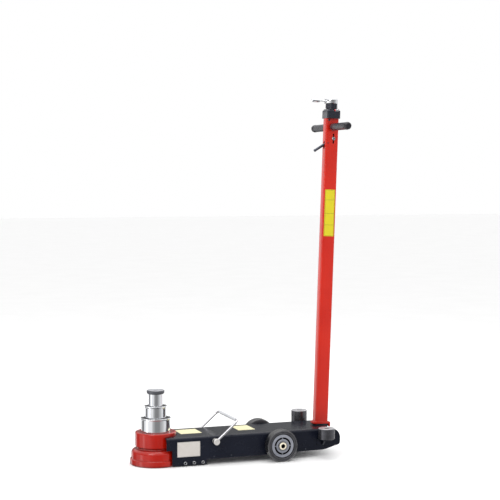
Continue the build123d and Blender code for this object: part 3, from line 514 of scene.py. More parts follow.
def paint(name, dark, light, rough=0.28, spec=0.5, coat=0.0, peel=0.00006, cast=0.0, chip=None, dust=0.25, dustc=(150, 146, 140), painted_corner_shade=0.0):
    M_ = Mat(name)
    big = M_.noise(9, 4, 0.55)
    fine = M_.noise(260, 4, 0.6)
    col = M_.mix(M_.mapr(big, 0.3, 0.7, 0, 1), dark, light)
    col = M_.mix(M_.mapr(fine, 0.35, 0.75, 0, 0.14), col, (light[0] * 1.25, light[1] * 1.4, light[2] * 1.4, 1))
    # settled dust on faces that look up, and a film low down
    nz = M_.xyz(M_.tc.outputs["Normal"])[2]
    up = M_.math("MULTIPLY", M_.mapr(nz, 0.55, 1.0, 0, 1), M_.mapr(M_.noise(60, 5, 0.62), 0.42, 0.78, 0, 1))
    low = M_.math("MULTIPLY", M_.mapr(M_.xyz()[2], 0.0, 0.035, 1, 0, smooth=True), M_.mapr(M_.noise(120, 5, 0.7), 0.4, 0.7, 0.1, 0.9))
    d = M_.math("MULTIPLY", M_.math("MAXIMUM", up, low), dust)
    col = M_.mix(d, col, lin(*dustc))
    ro = M_.mapr(M_.noise(34, 5, 0.6), 0.25, 0.75, rough * 0.82, rough * 1.25)
    ro = M_.math("ADD", ro, M_.math("MULTIPLY", d, 0.5), clamp=True)
    metal = None
    if chip:
        e = M_.edge(0.0009, 0.05, 0.3)
        br = M_.mapr(M_.noise(430, 5, 0.72), 0.56, 0.62, 0, 1)
        br = M_.math("MULTIPLY", br, M_.mapr(M_.noise(38, 2, 0.5), 0.5, 0.62, 0, 1))
        k = M_.math("MULTIPLY", e, br, clamp=True)
        col = M_.mix(M_.math("MULTIPLY", e, 0.25), col, (min(1, light[0] * 1.5), min(1, light[1] * 1.9 + 0.01), min(1, light[2] * 1.9 + 0.01), 1))
        col = M_.mix(k, col, chip)
    if painted_corner_shade:
        # painted shade: the paint is darkened where ambient occlusion finds corners, grooves and junctions
        ao = M_.t.nodes.new("ShaderNodeAmbientOcclusion")
        ao.samples = 6
        ao.inputs["Distance"].default_value = 0.016
        g_ = M_.mapr(ao.outputs["AO"], 0.35, 0.85, painted_corner_shade, 0.0)
        col = M_.mix(g_, col, (dark[0] * 0.25, dark[1] * 0.2, dark[2] * 0.2, 1))
    M_.p(color=col, rough=ro, spec=spec, coat=coat)
    if coat:
        M_.b.inputs["Coat Roughness"].default_value = 0.08
    if cast:
        M_.bump(M_.noise(150, 5, 0.55), cast, 0.5)
        M_.bump(M_.noise(520, 3, 0.5), cast * 0.3, 0.4)
    M_.bump(M_.noise(900, 2, 0.4), peel, 0.6)
    return M_.m


def chrome(name, origin=(0, 0, 0), axis=(0, 0, 1), base=(0.80, 0.81, 0.83), rough=0.045, lines=1.0):
    M_ = Mat(name)
    r, h = local_axis(M_, origin, axis)
    # stroke marks along the bar and very fine ground rings round it
    smudge = M_.noise(22, 5, 0.6)
    rings = M_.noise(1.0, 3, 0.7, vec=M_.vec(M_.math("MULTIPLY", h, 2600), M_.math("MULTIPLY", r, 200), 0.0))
    sc = M_.noise(1.0, 4, 0.75, vec=M_.stretch(900, 900, 26))
    col = M_.mix(M_.mapr(smudge, 0.35, 0.7, 0, 0.35), (*base, 1), (base[0] * 0.88, base[1] * 0.89, base[2] * 0.92, 1))
    ro = M_.math("ADD", M_.mapr(smudge, 0.3, 0.75, rough, rough * 2.4), M_.mapr(sc, 0.62, 0.75, 0, 0.10 * lines))
    M_.p(color=col, metal=1.0, rough=ro)
    M_.bump(rings, 0.000004 * lines, 0.5)
    M_.bump(sc, 0.000008 * lines, 0.4)
    return M_.m


def steel(name, base=(120, 122, 126), rough=0.34, metal=1.0, origin=(0, 0, 0), axis=(0, 0, 1), turn=1.0, dark=0.55, grain=1400):
    """Turned steel: concentric tool marks on the faces, rings along the sides, handling stains."""
    M_ = Mat(name)
    r, h = local_axis(M_, origin, axis)
    c0 = lin(*base)
    big = M_.noise(34, 5, 0.62)
    marks = M_.noise(1.0, 3, 0.65, vec=M_.vec(M_.math("MULTIPLY", r, grain), M_.math("MULTIPLY", h, grain), 0.0))
    col = M_.mix(M_.mapr(big, 0.3, 0.72, 0, 1), (c0[0] * dark, c0[1] * dark, c0[2] * dark, 1), c0)
    col = M_.mix(M_.mapr(marks, 0.3, 0.7, 0, 0.35 * turn), col, (min(1, c0[0] * 1.7), min(1, c0[1] * 1.7), min(1, c0[2] * 1.7), 1))
    ro = M_.math("ADD", M_.mapr(M_.noise(70, 5, 0.6), 0.25, 0.75, rough * 0.8, rough * 1.3), M_.mapr(marks, 0.3, 0.7, -0.04, 0.05))
    M_.p(color=col, metal=metal, rough=ro)
    M_.bump(marks, 0.00002 * turn, 0.6)
    M_.bump(M_.noise(700, 4, 0.6), 0.00002, 0.4)
    return M_.m


def rubber(name, base=(34, 34, 36), worn=(70, 69, 68), rough=0.62, wear=0.5, scale=1.0, spec=0.4):
    M_ = Mat(name)
    a, b = lin(*base), lin(*worn)
    n1 = M_.noise(30, 5, 0.62)
    n2 = M_.noise(1500 * scale, 4, 0.65)
    col = M_.mix(M_.mapr(n1, 0.35, 0.75, 0, wear), a, b)
    col = M_.mix(M_.mapr(n2, 0.55, 0.8, 0, 0.4), col, b)
    M_.p(color=col, rough=M_.mapr(M_.noise(90, 5, 0.6), 0.25, 0.75, rough * 0.85, min(1.0, rough * 1.2)), spec=spec)
    M_.bump(n2, 0.00005, 0.5)
    M_.bump(M_.noise(220, 3, 0.5), 0.00008, 0.35)
    return M_.m


def film(name, base, rough=0.38, lines=None, spec=0.45, metal=0.0):
    """Printed film or thin plate: slight waviness, a scuffed gloss and soft ageing."""
    M_ = Mat(name)
    c0 = lin(*base)
    n1 = M_.noise(45, 5, 0.6)
    n2 = M_.noise(900, 3, 0.6)
    col = M_.mix(M_.mapr(n1, 0.35, 0.75, 0, 0.5), c0, (c0[0] * 0.88, c0[1] * 0.87, c0[2] * 0.82, 1))
    col = M_.mix(M_.mapr(n2, 0.6, 0.8, 0, 0.18), col, (c0[0] * 0.7, c0[1] * 0.7, c0[2] * 0.68, 1))
    sc = M_.noise(1.0, 4, 0.7, vec=M_.stretch(60, 900, 900))
    M_.p(color=col, rough=M_.math("ADD", M_.mapr(n1, 0.3, 0.7, rough * 0.85, rough * 1.2), M_.mapr(sc, 0.6, 0.75, 0, 0.12)), spec=spec, metal=metal)
    M_.bump(M_.noise(60, 2, 0.5), 0.00012, 0.25)
    M_.bump(n2, 0.00001, 0.5)
    return M_.m


# ---------------------------------------------------------------------------
# frame of the object, in millimetres
# ---------------------------------------------------------------------------
lean = rad(2.1)
C, S = math.cos(lean), math.sin(lean)
PX, PZ = 610.66, 58.0
CHASSIS = "chassis"


def mpt(u, v, w):
    return Vector((PX + u * C + w * S, v, PZ - u * S + w * C))


def mframe(u=0, v=0, w=0):
    """x along u, y along v, z up the mast."""
    return fr(mpt(u, v, w), (C, 0, -S), (S, 0, C))


def mside(v, out=1):
    """Plane of a mast side: x along u, z along +v or -v."""
    return fr(mpt(0, v, 0), (C, 0, -S), (0, out, 0))


def yframe(x, z, y=0.0):
    """Axis along +Y: local z is +Y."""
    return fr((x, y, z), (0, 0, 1), (0, 1, 0))


# ---------------------------------------------------------------------------
# materials
# ---------------------------------------------------------------------------
# Where these paints darken in corners and grooves, that is painted shade from ambient occlusion.
RED = paint("red_enamel_cast", lin(154, 15, 2), lin(172, 23, 7), rough=0.16, spec=0.35, coat=0.25, painted_corner_shade=0.8, cast=0.00035, chip=lin(92, 90, 92), dust=0.05, dustc=(176, 140, 130))
RED_M = paint("red_enamel_tube", lin(184, 25, 8), lin(195, 33, 14), rough=0.18, painted_corner_shade=0.5, spec=0.5, coat=0.1, cast=0.0, chip=lin(120, 110, 108), dust=0.03, dustc=(200, 160, 150))
NAVY = paint("navy_black_enamel", lin(17, 20, 31), lin(24, 27, 39), rough=0.25, spec=0.2, painted_corner_shade=0.5, cast=0.0, chip=lin(96, 98, 104), dust=0.03, dustc=(120, 120, 122), peel=0.00006)
DECKM = paint("deck_black_enamel", lin(20, 23, 32), lin(28, 31, 40), rough=0.17, spec=0.17, cast=0.0, chip=lin(110, 110, 114), dust=0.05, dustc=(132, 131, 130), peel=0.00005)
BLACKC = paint("black_cast_enamel", lin(24, 27, 37), lin(36, 39, 50), rough=0.2, spec=0.5, coat=0.2, painted_corner_shade=0.4, cast=0.0002, chip=lin(120, 120, 126), dust=0.05, dustc=(120, 120, 122))
CHR1 = chrome("chrome_ram_1", base=(0.82, 0.83, 0.85))
CHR2 = chrome("chrome_ram_2", base=(0.80, 0.81, 0.84), rough=0.055)
CHR3 = chrome("chrome_ram_3", base=(0.78, 0.79, 0.82), rough=0.06)
CHRM = chrome("chrome_lever", origin=tuple(mpt(0, 0, 0) * MM), axis=(S, 0, C), base=(0.86, 0.87, 0.89), rough=0.05)
CHRB = chrome("chrome_bail", origin=(0.1848, 0, 0.0812), axis=(0, 1, 0), base=(0.60, 0.59, 0.61), rough=0.06, lines=1.6)
# A lighter, less metallic copy of the saddle steel for its top face: painted highlight.
SADDLE_TOP_HIGHLIGHT = steel("saddle_top_painted_highlight", base=(176, 177, 182), rough=0.34, metal=0.4, turn=0.8, dark=0.8)
SADM = steel("saddle_steel", base=(92, 93, 99), rough=0.33, metal=0.5, turn=0.7, dark=0.6)
# A lighter copy of the adapter steel for the top faces: painted highlight.
ADAPTER_TOP_HIGHLIGHT = steel("adapter_top_painted_highlight", base=(168, 168, 172), rough=0.34, metal=0.4, turn=0.8, dark=0.8)
ADS = steel("adapter_steel_near", base=(88, 88, 93), rough=0.27, metal=0.8, origin=(0.5831, -0.1292, 0), turn=0.8, dark=0.6)
ADT = steel("adapter_steel_far", base=(94, 94, 99), rough=0.25, metal=0.8, origin=(0.5831, 0.1292, 0), turn=0.8, dark=0.6)
ZINC = steel("zinc_plate", base=(196, 196, 200), rough=0.26, origin=(0.4183, 0, 0.0555), axis=(0, 1, 0), turn=0.5, dark=0.75)
ZINCY = steel("zinc_cream", base=(226, 214, 196), rough=0.3, origin=(0.4183, 0, 0.0555), axis=(0, 1, 0), turn=0.4, dark=0.8)
BOLT = steel("bolt_zinc", base=(190, 191, 196), rough=0.24, origin=(0.11, 0, 0.0113), axis=(0, 1, 0), turn=0.3, dark=0.7)
DSTEEL = steel("dark_steel", base=(84, 88, 98), rough=0.4, metal=0.85, turn=0.4, dark=0.6)
ALU = steel("aluminium_plate", base=(196, 197, 200), rough=0.35, turn=0.3, dark=0.85)
AXEND = steel("axle_end_zinc", base=(246, 236, 210), rough=0.4, metal=0.2, origin=(0.4183, 0, 0.0555), axis=(0, 1, 0), turn=0.3, dark=0.9)
RINGZ = steel("thrust_ring_steel", base=(132, 132, 134), rough=0.36, metal=0.7, origin=(0.4183, 0, 0.0555), axis=(0, 1, 0), turn=0.4, dark=0.75)
STUD = steel("stud_zinc", base=(226, 222, 218), rough=0.3, metal=0.55, origin=(0.1848, 0, 0.0812), axis=(0, 1, 0), turn=0.4, dark=0.85)
SLEEVE = rubber("sleeve_light_grey", base=(196, 198, 202), worn=(216, 217, 220), rough=0.42, wear=0.7, spec=0.5)
REDCAP = paint("red_collar", lin(190, 24, 10), lin(204, 34, 18), rough=0.3, dust=0.0)
BRASS = steel("brass_turned", base=(206, 170, 96), rough=0.28, origin=tuple(mpt(0, 0, 1149) * MM), axis=(0, 1, 0), turn=0.6, dark=0.7)
IRON = paint("grey_cast_iron", lin(72, 73, 76), lin(92, 93, 96), rough=0.5, spec=0.4, cast=0.0004, dust=0.2)
TREAD = rubber("tread_rubber", base=(24, 24, 27), worn=(44, 44, 47), rough=0.26, wear=0.6, spec=0.75)
TYRE = rubber("tyre_rubber", base=(52, 52, 56), worn=(78, 78, 82), rough=0.42, wear=0.8, spec=0.5)
GRIP = rubber("grip_rubber", base=(40, 41, 46), worn=(66, 67, 72), rough=0.27, wear=0.8, scale=1.2, spec=0.5)
GRIPE = rubber("grip_end_rubber", base=(18, 19, 24), worn=(42, 43, 50), rough=0.28, wear=0.6, spec=0.5)
SEAL = rubber("black_seal_rubber", base=(9, 9, 12), worn=(22, 22, 25), rough=0.5, wear=0.5)
RIM = paint("grey_rim_plastic", lin(118, 120, 130), lin(142, 144, 153), rough=0.34, spec=0.5, dust=0.05, peel=0.00004, painted_corner_shade=0.5)
# Near-black paint for the recess of the grey hub: painted shade, the recess is the same grey plastic.
RIM_RECESS_SHADE = paint("rim_recess_painted_shade", lin(16, 17, 21), lin(26, 27, 32), rough=0.6, spec=0.1, dust=0.15, peel=0.00004)
YEL = film("label_yellow", (212, 198, 24), rough=0.36)
INK = film("label_ink", (38, 38, 34), rough=0.42)
PALE = film("label_pale", (240, 234, 190), rough=0.42)
PALEL = film("label_pale_lines", (168, 164, 140), rough=0.45)
DATA = film("data_plate", (207, 202, 198), rough=0.34, metal=0.15)
DATAL = film("data_plate_edge", (150, 146, 142), rough=0.4, metal=0.2)
# Near-black for bores, sockets, grooves and recesses: painted shade in the hollows of parts that are not black.
RECESS_SHADE = rubber("recess_painted_shade", base=(14, 14, 16), worn=(28, 28, 30), rough=0.7, wear=0.3)

# every CAD node gets a finish, seen or not
FIN = {
    "base_casting": RED, "base_gland": RED, "ram_1_tube": CHR1, "ram_1_seals": SEAL, "ram_2_tube": CHR2, "ram_2_seals": SEAL,
    "ram_3_rod": CHR3, "ram_3_seal": SEAL, "saddle": SADM, "side_plate_near": NAVY, "side_plate_far": NAVY, "front_cover": DECKM,
    "rear_deck": DECKM, "bottom_plate": NAVY, "skirt_bolts": BOLT, "bottom_tray": NAVY, "pump_block": IRON, "release_valve": ZINC,
    "air_cylinder": ALU, "air_cylinder_cap": ALU, "air_piston": ALU, "pump_plunger": DSTEEL, "return_spring": DSTEEL, "oil_tank": NAVY,
    "tank_plug": ZINC, "oil_tubes": ZINC, "air_hose_lower": SEAL, "wheel_axle": ZINC, "axle_rings": ZINCY, "tyre_near": TYRE, "tyre_far": TYRE,
    "rim_near": RIM, "rim_far": RIM, "bearings_near": DSTEEL, "bearings_far": DSTEEL, "bail_handle": CHRB, "bail_grip": CHRB,
    "bail_studs": BOLT, "adapter_short": ADS, "adapter_tall": ADT, "adapter_brackets": NAVY, "mast_brackets": NAVY, "pivot_pin": ZINC,
    "clamp_drum": DSTEEL, "mast_foot": RED_M, "mast_tube": RED_M, "grip_bar": DSTEEL, "hand_grips": GRIP, "valve_body": BLACKC,
    "valve_screws": DSTEEL, "air_nipple": BRASS, "air_hose_mast": SEAL, "mast_label": YEL, "air_lever": CHRM, "clamp_lever": DSTEEL,
    "clamp_rod": DSTEEL, "clamp_spring": DSTEEL, "clamp_shoe": DSTEEL, "clamp_bolt": BOLT, "blank_labels": PALE,
}
for nm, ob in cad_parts.items():
    m = FIN.get(nm, NAVY)
    for sl in ob.material_slots:
        sl.material = m

# ---------------------------------------------------------------------------
# base casting, gland, rams, saddle
# ---------------------------------------------------------------------------
bm = lathe_bm(rnd([(0, 0.05), (86.0, 0.05, 0.5), (88, 2.0, 1.5), (88, 20.0, 2.4), (84.0, 21.2, 1.6)]
                  + [(a, b) for a, b in arc3((84.0, 40.0), (81.0, 48.4), (73.6, 53.6), 9)]
                  + [(67.2, 54.2, 1.2), (65.6, 56.5, 1.2), (65.6, 59.5, 1.2), (70.4, 63.2, 1.6), (70.4, 111.5, 4.2), (61.0, 111.5, 1.8), (61.0, 88.0), (56.0, 88.0), (56.0, 12.0), (0, 12.0)],
                  closed=True, n=6), 192)
join_into(bm, plate_bm([rrect(0, 39, 96, 46, 5)], 59, 98, fr((0, 0, 0), (0, 1, 0), (1, 0, 0))))
bmesh.ops.remove_doubles(bm, verts=bm.verts[:], dist=1e-4)
finish_mesh("base_casting_body", bm, RED, CHASSIS, ["base_casting"], angle=35)

# gland ring with four spanner holes: the holes are sunk between the rings of the top face
bm = plate_bm([circ(0, 0, 60.95, 128), circ(0, 0, 50.9, 128)] + [circ(56 * math.cos(a), 56 * math.sin(a), 1.9, 16) for a in (rad(20), rad(110), rad(200), rad(290))],
              106.0, 110.4)
join_into(bm, lathe_bm([(50.9, 88.1), (60.95, 88.1), (60.95, 106.0), (50.9, 106.0)], 128))
finish_mesh("gland_ring", bm, RED, CHASSIS, ["base_gland"], bevel=0.5, bseg=2)

lathe("ram_1_sleeve", [(5, 59), (55.7, 59, 0.8), (55.7, 63.5), (52.0, 63.5), (52.0, 69.5), (55.7, 69.5), (55.7, 73.0, 0.6), (50.5, 75.0, 0.6), (50.5, 153.6, 1.5),
                       (51.8, 155.6, 1.0), (51.8, 159.2, 1.1), (48.4, 159.2, 0.7), (46.8, 157.2, 0.8), (42.6, 155.3, 0.8), (40.4, 154.8, 0.3), (40.4, 149.0), (36.3, 149.0),
                       (36.3, 144.0), (43.5, 144.0), (43.5, 67.0), (5, 67.0)], CHR1, "ram_1", ["ram_1_tube"], seg=192, n=5)
lathe("ram_2_sleeve", [(4, 106.4), (43.2, 106.4, 0.8), (43.2, 110.4), (39.6, 110.4), (39.6, 115.4), (43.2, 115.4), (43.2, 119.4, 0.6), (36.2, 121.0, 0.5), (36.2, 193.6, 1.5),
                       (38.5, 196.6, 1.2), (38.5, 200.65, 1.1), (35.4, 200.65, 0.7), (33.8, 198.8, 0.8), (30.6, 196.9, 0.7), (28.2, 196.4, 0.3), (28.2, 190.5), (24.4, 190.5),
                       (24.4, 186.0), (30.5, 186.0), (30.5, 113.4), (4, 113.4)], CHR2, "ram_2", ["ram_2_tube"], seg=176, n=5)
lathe("ram_3_rod_turned", [(0, 153.7), (30.2, 153.7, 0.6), (30.2, 157.6), (27.0, 157.6), (27.0, 161.6), (30.2, 161.6), (30.2, 165.4, 0.5), (24.3, 166.6, 0.5),
                           (24.3, 240.95, 1.0), (10.05, 240.95, 0.4), (10.05, 216.0), (0, 216.0)], CHR3, "ram_3", ["ram_3_rod"], seg=144)
# wiper lips, each a rubber ring that stands a little proud of its seat
lathe("wiper_lip_1", [(36.35, 149.1), (40.3, 149.1), (40.3, 155.2), (42.9, 155.9), (46.6, 157.6), (47.4, 158.5, 0.4), (45.6, 158.9, 0.6), (39.2, 157.9, 0.8), (37.2, 158.9, 0.5), (36.35, 158.6, 0.2)], SEAL, "ram_1", (), seg=144)
lathe("wiper_lip_2", [(24.45, 190.6), (28.1, 190.6), (28.1, 196.8), (30.8, 197.4), (33.6, 199.1), (34.6, 200.0, 0.4), (32.6, 200.4, 0.6), (27.0, 199.4, 0.8), (25.3, 200.4, 0.5), (24.45, 200.0, 0.2)], SEAL, "ram_2", (), seg=128)
lathe("piston_seal_1", [(52.05, 63.6), (55.75, 63.6, 0.5), (55.75, 69.4, 0.5), (52.05, 69.4)], SEAL, "ram_1", ["ram_1_seals"], seg=96)
lathe("piston_seal_2", [(39.65, 110.5), (43.25, 110.5, 0.5), (43.25, 115.3, 0.5), (39.65, 115.3)], SEAL, "ram_2", ["ram_2_seals"], seg=96)
lathe("piston_seal_3", [(27.05, 157.65), (30.2, 157.65, 0.4), (30.2, 161.55, 0.4), (27.05, 161.55)], SEAL, "ram_3", ["ram_3_seal"], seg=96)

# the bore of the saddle is painted shade, near-black
# the top face and rim of the saddle take the lighter steel: painted highlight
lathe("saddle_head", [(0, 217.0), (9.2, 217.0, 0.3), (10.0, 217.8), (10.0, 241.15), (27.4, 241.15, 0.8), (29.4, 242.6, 1.0), (30.9, 245.4, 1.6), (30.9, 251.6, 1.8), (28.4, 254.05, 1.2),
                      (22.0, 254.05, 0.35), (21.3, 253.2, 0.3), (18.9, 253.2, 0.3), (18.2, 254.05, 0.35), (11.0, 254.05, 0.6), (9.3, 252.3, 0.5), (9.3, 244.45, 0.4), (0, 244.45)],
      [SADM, SADDLE_TOP_HIGHLIGHT, RECESS_SHADE], "saddle_body", ["saddle"], seg=144, n=5, matfn=lambda r, z: 2 if r < 9.8 and z < 253.6 else (1 if z > 252.6 and r < 29.2 else 0))

# ---------------------------------------------------------------------------
# chassis sheet metal
# ---------------------------------------------------------------------------
Y0, DZ, BD, ST, FI = 89.7, 98.5, 9.0, 4.0, 66.0


def folded_side(sy):
    """One folded side: a flat blank with its holes, creased along the bend and thickened inwards."""
    prof = [(Y0, 0.0), (Y0, DZ - BD)] + [(Y0 - BD + BD * math.cos(t), DZ - BD + BD * math.sin(t)) for t in [rad(90 * i / 10) for i in range(1, 10)]] + [(Y0 - BD, DZ), (FI, DZ)]
    tab = path_table(prof)
    s_b0 = DZ - BD                      # start of the bend
    s_b1 = s_b0 + BD * math.pi / 2
    s_end = tab[-1][0]

    def s_at(z):
        if z <= DZ - BD:
            return z
        return s_b0 + BD * math.asin(min(1, (z - (DZ - BD)) / BD))

    rear = arc3((641.5, 38.2), (648.6, 41.8), (651.6, 49.0), 6) + arc3((652.0, 64.0), (644.6, 84.6), (626.0, 96.2), 14)
    out = [(33, 56), (33, 3), (155, 3), (155, 20), (372, 20.6), (489, 23), (586, 24.4), (600, 26.6), (630, 35.6)]
    out = rnd([(33, 56, 1.0), (33, 3, 1.2), (155, 3, 1.2), (155, 20, 1.5), (372, 20.6), (489, 23), (586, 24.4, 10), (600, 26.6, 10), (630, 35.6, 8)] + [(641.5, 38.2)], closed=False, n=3)
    pts = [(x, s_at(z)) for x, z in out + rear[1:]]
    pts += [(622.0, s_at(97.4)), (618.0, s_at(98.4)), (616.6, s_b1 + 1.5), (616.0, s_b1 + 4), (616.0, s_end)]
    # inner edge of the flange, then the notch round the lift cylinder
    # cylinder notch in the flange: r = 71.6 about the ram axis
    R = 71.6
    xa = math.sqrt(R * R - FI * FI)
    pts += [(xa, s_end)]
    n = 14
    ye = math.sqrt(R * R - 13.0 * 13.0)
    for i in range(1, n + 1):
        y = FI + (ye - FI) * i / n
        pts.append((math.sqrt(max(0, R * R - y * y)), s_b1 + (Y0 - BD - y)))
    pts += [(13.0, s_b1 + 0.2), (13, s_b0), (13, 57.2), (13.8, 56.0)]
    clean = [pts[0]]
    for p in pts[1:]:
        if math.hypot(p[0] - clean[-1][0], p[1] - clean[-1][1]) > 0.15:
            clean.append(p)
    loops = [clean, circ(418.3, 55.5, 12.75, 40), circ(184.8, 81.2, 6.05, 24)] + [circ(x, 11.3, 4.15, 20) for x in (78.6, 109.9, 141.4)]
    b = wrap_bm(loops, tab, lambda a, p, q: (a, sy * p, q))
    for f in b.faces:
        f.normal_update()
    # outward normals
    for f in b.faces:
        c = f.calc_center_median()
        o = Vector((0, sy, 0)) if c.z < DZ - BD * 0.5 else Vector((0, 0, 1))
        if f.normal.dot(o) < 0:
            f.normal_flip()
    for f in b.faces:
        f.material_index = 1 if f.normal.z > 0.93 else 0
    return b


for side, sy in (("near", -1), ("far", 1)):
    finish_mesh("side_sheet_" + side, folded_side(sy), [NAVY, DECKM], CHASSIS, ["side_plate_" + side], solid=ST, bevel=0.45, bseg=2, recalc=False)

# flush covers between the two flanges
notch = [(71.6 * math.cos(t), 71.6 * math.sin(t)) for t in [rad(-66 + 132 * i / 44) for i in range(45)]]
fy = FI - 0.08
a0 = math.asin(fy / 71.6)
notch = [(71.6 * math.cos(a0 * (1 - 2 * i / 40)), 71.6 * math.sin(a0 * (1 - 2 * i / 40))) for i in range(41)]
plate("front_cover_sheet", [[(notch[0][0], fy)] + notch[1:-1] + [(notch[-1][0], -fy), (199.9, -fy), (199.9, fy)]], DZ - ST, DZ, DECKM, CHASSIS, ["front_cover"], bevel=0.12, bseg=1)
plate("front_cover_tongue", [[(184.2, -61), (217.8, -61), (217.8, 61), (184.2, 61)]], DZ - 2 * ST + 0.8, DZ - ST - 0.02, NAVY, CHASSIS, (), bevel=0.5)
plate("rear_deck_sheet", [rnd([(200.1, -fy, 0.2), (616, -fy, 2), (616, -26, 1.5), (586, -26, 4), (586, 26, 4), (616, 26, 1.5), (616, fy, 2), (200.1, fy, 0.2)], n=4)],
      DZ - ST, DZ, DECKM, CHASSIS, ["rear_deck"], bevel=0.12, bseg=1)

# socket screws in the skirt, each with its washer
# the hex socket of each screw is painted shade, near-black
bm = bmesh.new()
for sy in (-1, 1):
    for x in (78.6, 109.9, 141.4):
        F = fr((x, sy * Y0, 11.3), (1, 0, 0), (0, sy, 0))
        join_into(bm, lathe_bm(rnd([(0, -8), (4.0, -8), (4.0, 0.05), (5.7, 0.05), (5.7, 3.6, 1.2), (3.7, 4.2, 0.3), (3.3, 3.8), (3.3, 1.4), (0, 1.4)], closed=True, n=3), 36, F,
                              matfn=lambda r, z: 1 if r < 3.5 and z < 3.9 else 0))
finish_mesh("skirt_screws", bm, [BOLT, RECESS_SHADE], CHASSIS, ["skirt_bolts"], angle=30)

# two rivets that hold the bottom tray
bm = bmesh.new()
for sy in (-1, 1):
    for x, z in ((182.0, 27.7), (245.0, 27.9), (520.0, 30.6)):
        F = fr((x, sy * (Y0 - 0.02), z), (1, 0, 0), (0, sy, 0))
        dome = [(2.4 * math.cos(t), 0.1 + 1.3 * math.sin(t)) for t in [rad(90 * i / 6) for i in range(7)]]
        join_into(bm, lathe_bm([(0, -3.0), (2.4, -3.0)] + dome[:-1] + [(0, 1.4)], 24, F))
finish_mesh("tray_rivets", bm, DSTEEL, CHASSIS, (), angle=50)

# ---------------------------------------------------------------------------
# axle and wheels
# ---------------------------------------------------------------------------
AXX, AXZ = 418.3, 55.5
AF = yframe(AXX, AXZ)
# the bored ends of the axle are painted shade, near-black
lathe("axle_bar", [(0, -100), (7.4, -112), (7.4, -134.8), (11.4, -134.8, 0.6), (12.6, -133.8, 0.4), (12.6, -133.5), (11.6, -133.5), (11.6, -132.3), (12.6, -132.3),
                   (12.6, 132.3), (11.6, 132.3), (11.6, 133.5), (12.6, 133.5), (12.6, 133.8, 0.4), (11.4, 134.8, 0.6), (7.4, 134.8), (7.4, 112), (0, 100)],
      [AXEND, RECESS_SHADE], CHASSIS, ["wheel_axle"], seg=72, frame_=AF, n=3, matfn=lambda r, z: 1 if r < 8.5 and abs(z) < 134.0 else 0)
bm = bmesh.new()
for sy in (-1, 1):
    # retaining ring and the inner thrust collar
    join_into(bm, lathe_bm(rnd([(11.65, sy * 132.35), (16.0, sy * 132.35, 0.3), (16.0, sy * 133.45, 0.4), (11.65, sy * 133.45, 0.2)], n=3), 72, AF))
    join_into(bm, lathe_bm(rnd([(12.65, sy * 89.75), (18.0, sy * 89.75, 0.5), (18.0, sy * 98.1, 0.8), (12.65, sy * 98.1)], n=3), 72, AF))
finish_mesh("axle_ring_set", bm, RINGZ, CHASSIS, ["axle_rings"], angle=32)

for side, sy in (("near", -1), ("far", 1)):
    body = "wheel_" + side
    # tyre: crowned tread with a faint mould line, stepped side wall
    tp = [(40.2, 99.0), (42.5, 98.0, 0.8), (50.0, 97.25, 1.5), (53.6, 98.3, 1.6), (55.15, 101.2, 1.6), (55.5, 106, 8), (55.5, 115.85), (55.42, 116.2), (55.5, 116.55), (55.5, 126.5, 8),
          (55.0, 131.0, 2.0), (53.2, 133.2, 1.4), (51.2, 134.2, 0.9), (49.4, 134.4, 0.5), (48.6, 132.6, 0.4), (47.6, 132.6, 0.4), (46.9, 133.9, 0.5), (43.4, 133.8, 0.6), (42.4, 131.6, 0.5), (41.4, 128.4, 0.4), (40.2, 128.4)]
    # the side-wall groove and the bead beside the rim are painted shade, near-black
    lathe("tyre_tread_" + side, [(a, sy * b, *r) for a, b, *r in tp], [TYRE, TREAD, RECESS_SHADE], body, ["tyre_" + side], seg=176, frame_=AF, n=5, angle=28,
          matfn=lambda r, z: 1 if r > 53.6 else (2 if (47.7 < r < 48.5 or r < 42.0) else 0))
    rp = [(17.0, 98.6), (24.0, 98.6, 0.6), (25.0, 99.6), (25.0, 110.0, 0.8), (29.0, 110.0, 0.8), (29.0, 101.0), (30.0, 100.0, 0.5), (40.0, 100.0), (40.0, 131.4, 0.4), (38.9, 132.5, 0.9),
          (36.4, 132.5, 0.6), (35.8, 131.9, 0.4), (33.0, 131.9, 0.4), (32.4, 132.5, 0.5), (30.9, 132.4, 0.6), (29.9, 131.0, 0.3), (29.9, 120.0, 0.6), (24.1, 120.0, 0.6), (24.1, 130.9, 0.4), (23.2, 132.2, 0.6),
          (20.6, 132.2, 0.4), (19.8, 131.3, 0.3), (17.0, 131.0, 0.3)]
    # the recess in the hub face takes the near-black paint: painted shade
    b = lathe_bm(rnd([(a, sy * c_, *r) for a, c_, *r in rp], n=4), 144, AF,
                 matfn=lambda r, z, sy=sy: 1 if (24.15 < r < 29.85 and sy * z < 130.4) or (24.0 < r < 30.0 and sy * z < 130.6) else 0)
    for k in range(4):
        t = k * math.pi / 2
        F = fr((AXX, 0, AXZ), (math.cos(t), 0, math.sin(t)), (0, sy, 0))
        rib = plate_bm([rrect(27.0, 0, 6.2, 2.6, 0.5, n=2)], 119.6, 129.8, F)
        join_into(b, rib)
    finish_mesh("wheel_hub_" + side, b, [RIM, RIM_RECESS_SHADE], body, ["rim_" + side], angle=30)
    # sealed bearings: outer race, shield, inner race
    b = bmesh.new()
    for y0 in (98.8, 120.0):
        y1 = y0 + 11.35
        join_into(b, lathe_bm(rnd([(12.68, sy * y0), (16.95, sy * y0, 0.3), (16.95, sy * y1, 0.3), (16.1, sy * y1, 0.1), (15.9, sy * (y1 - 0.5)), (13.9, sy * (y1 - 0.5)), (13.7, sy * y1, 0.1), (12.68, sy * y1, 0.2)], n=2), 96, AF))
    finish_mesh("wheel_bearings_" + side, b, ZINC, body, ["bearings_" + side], angle=30)

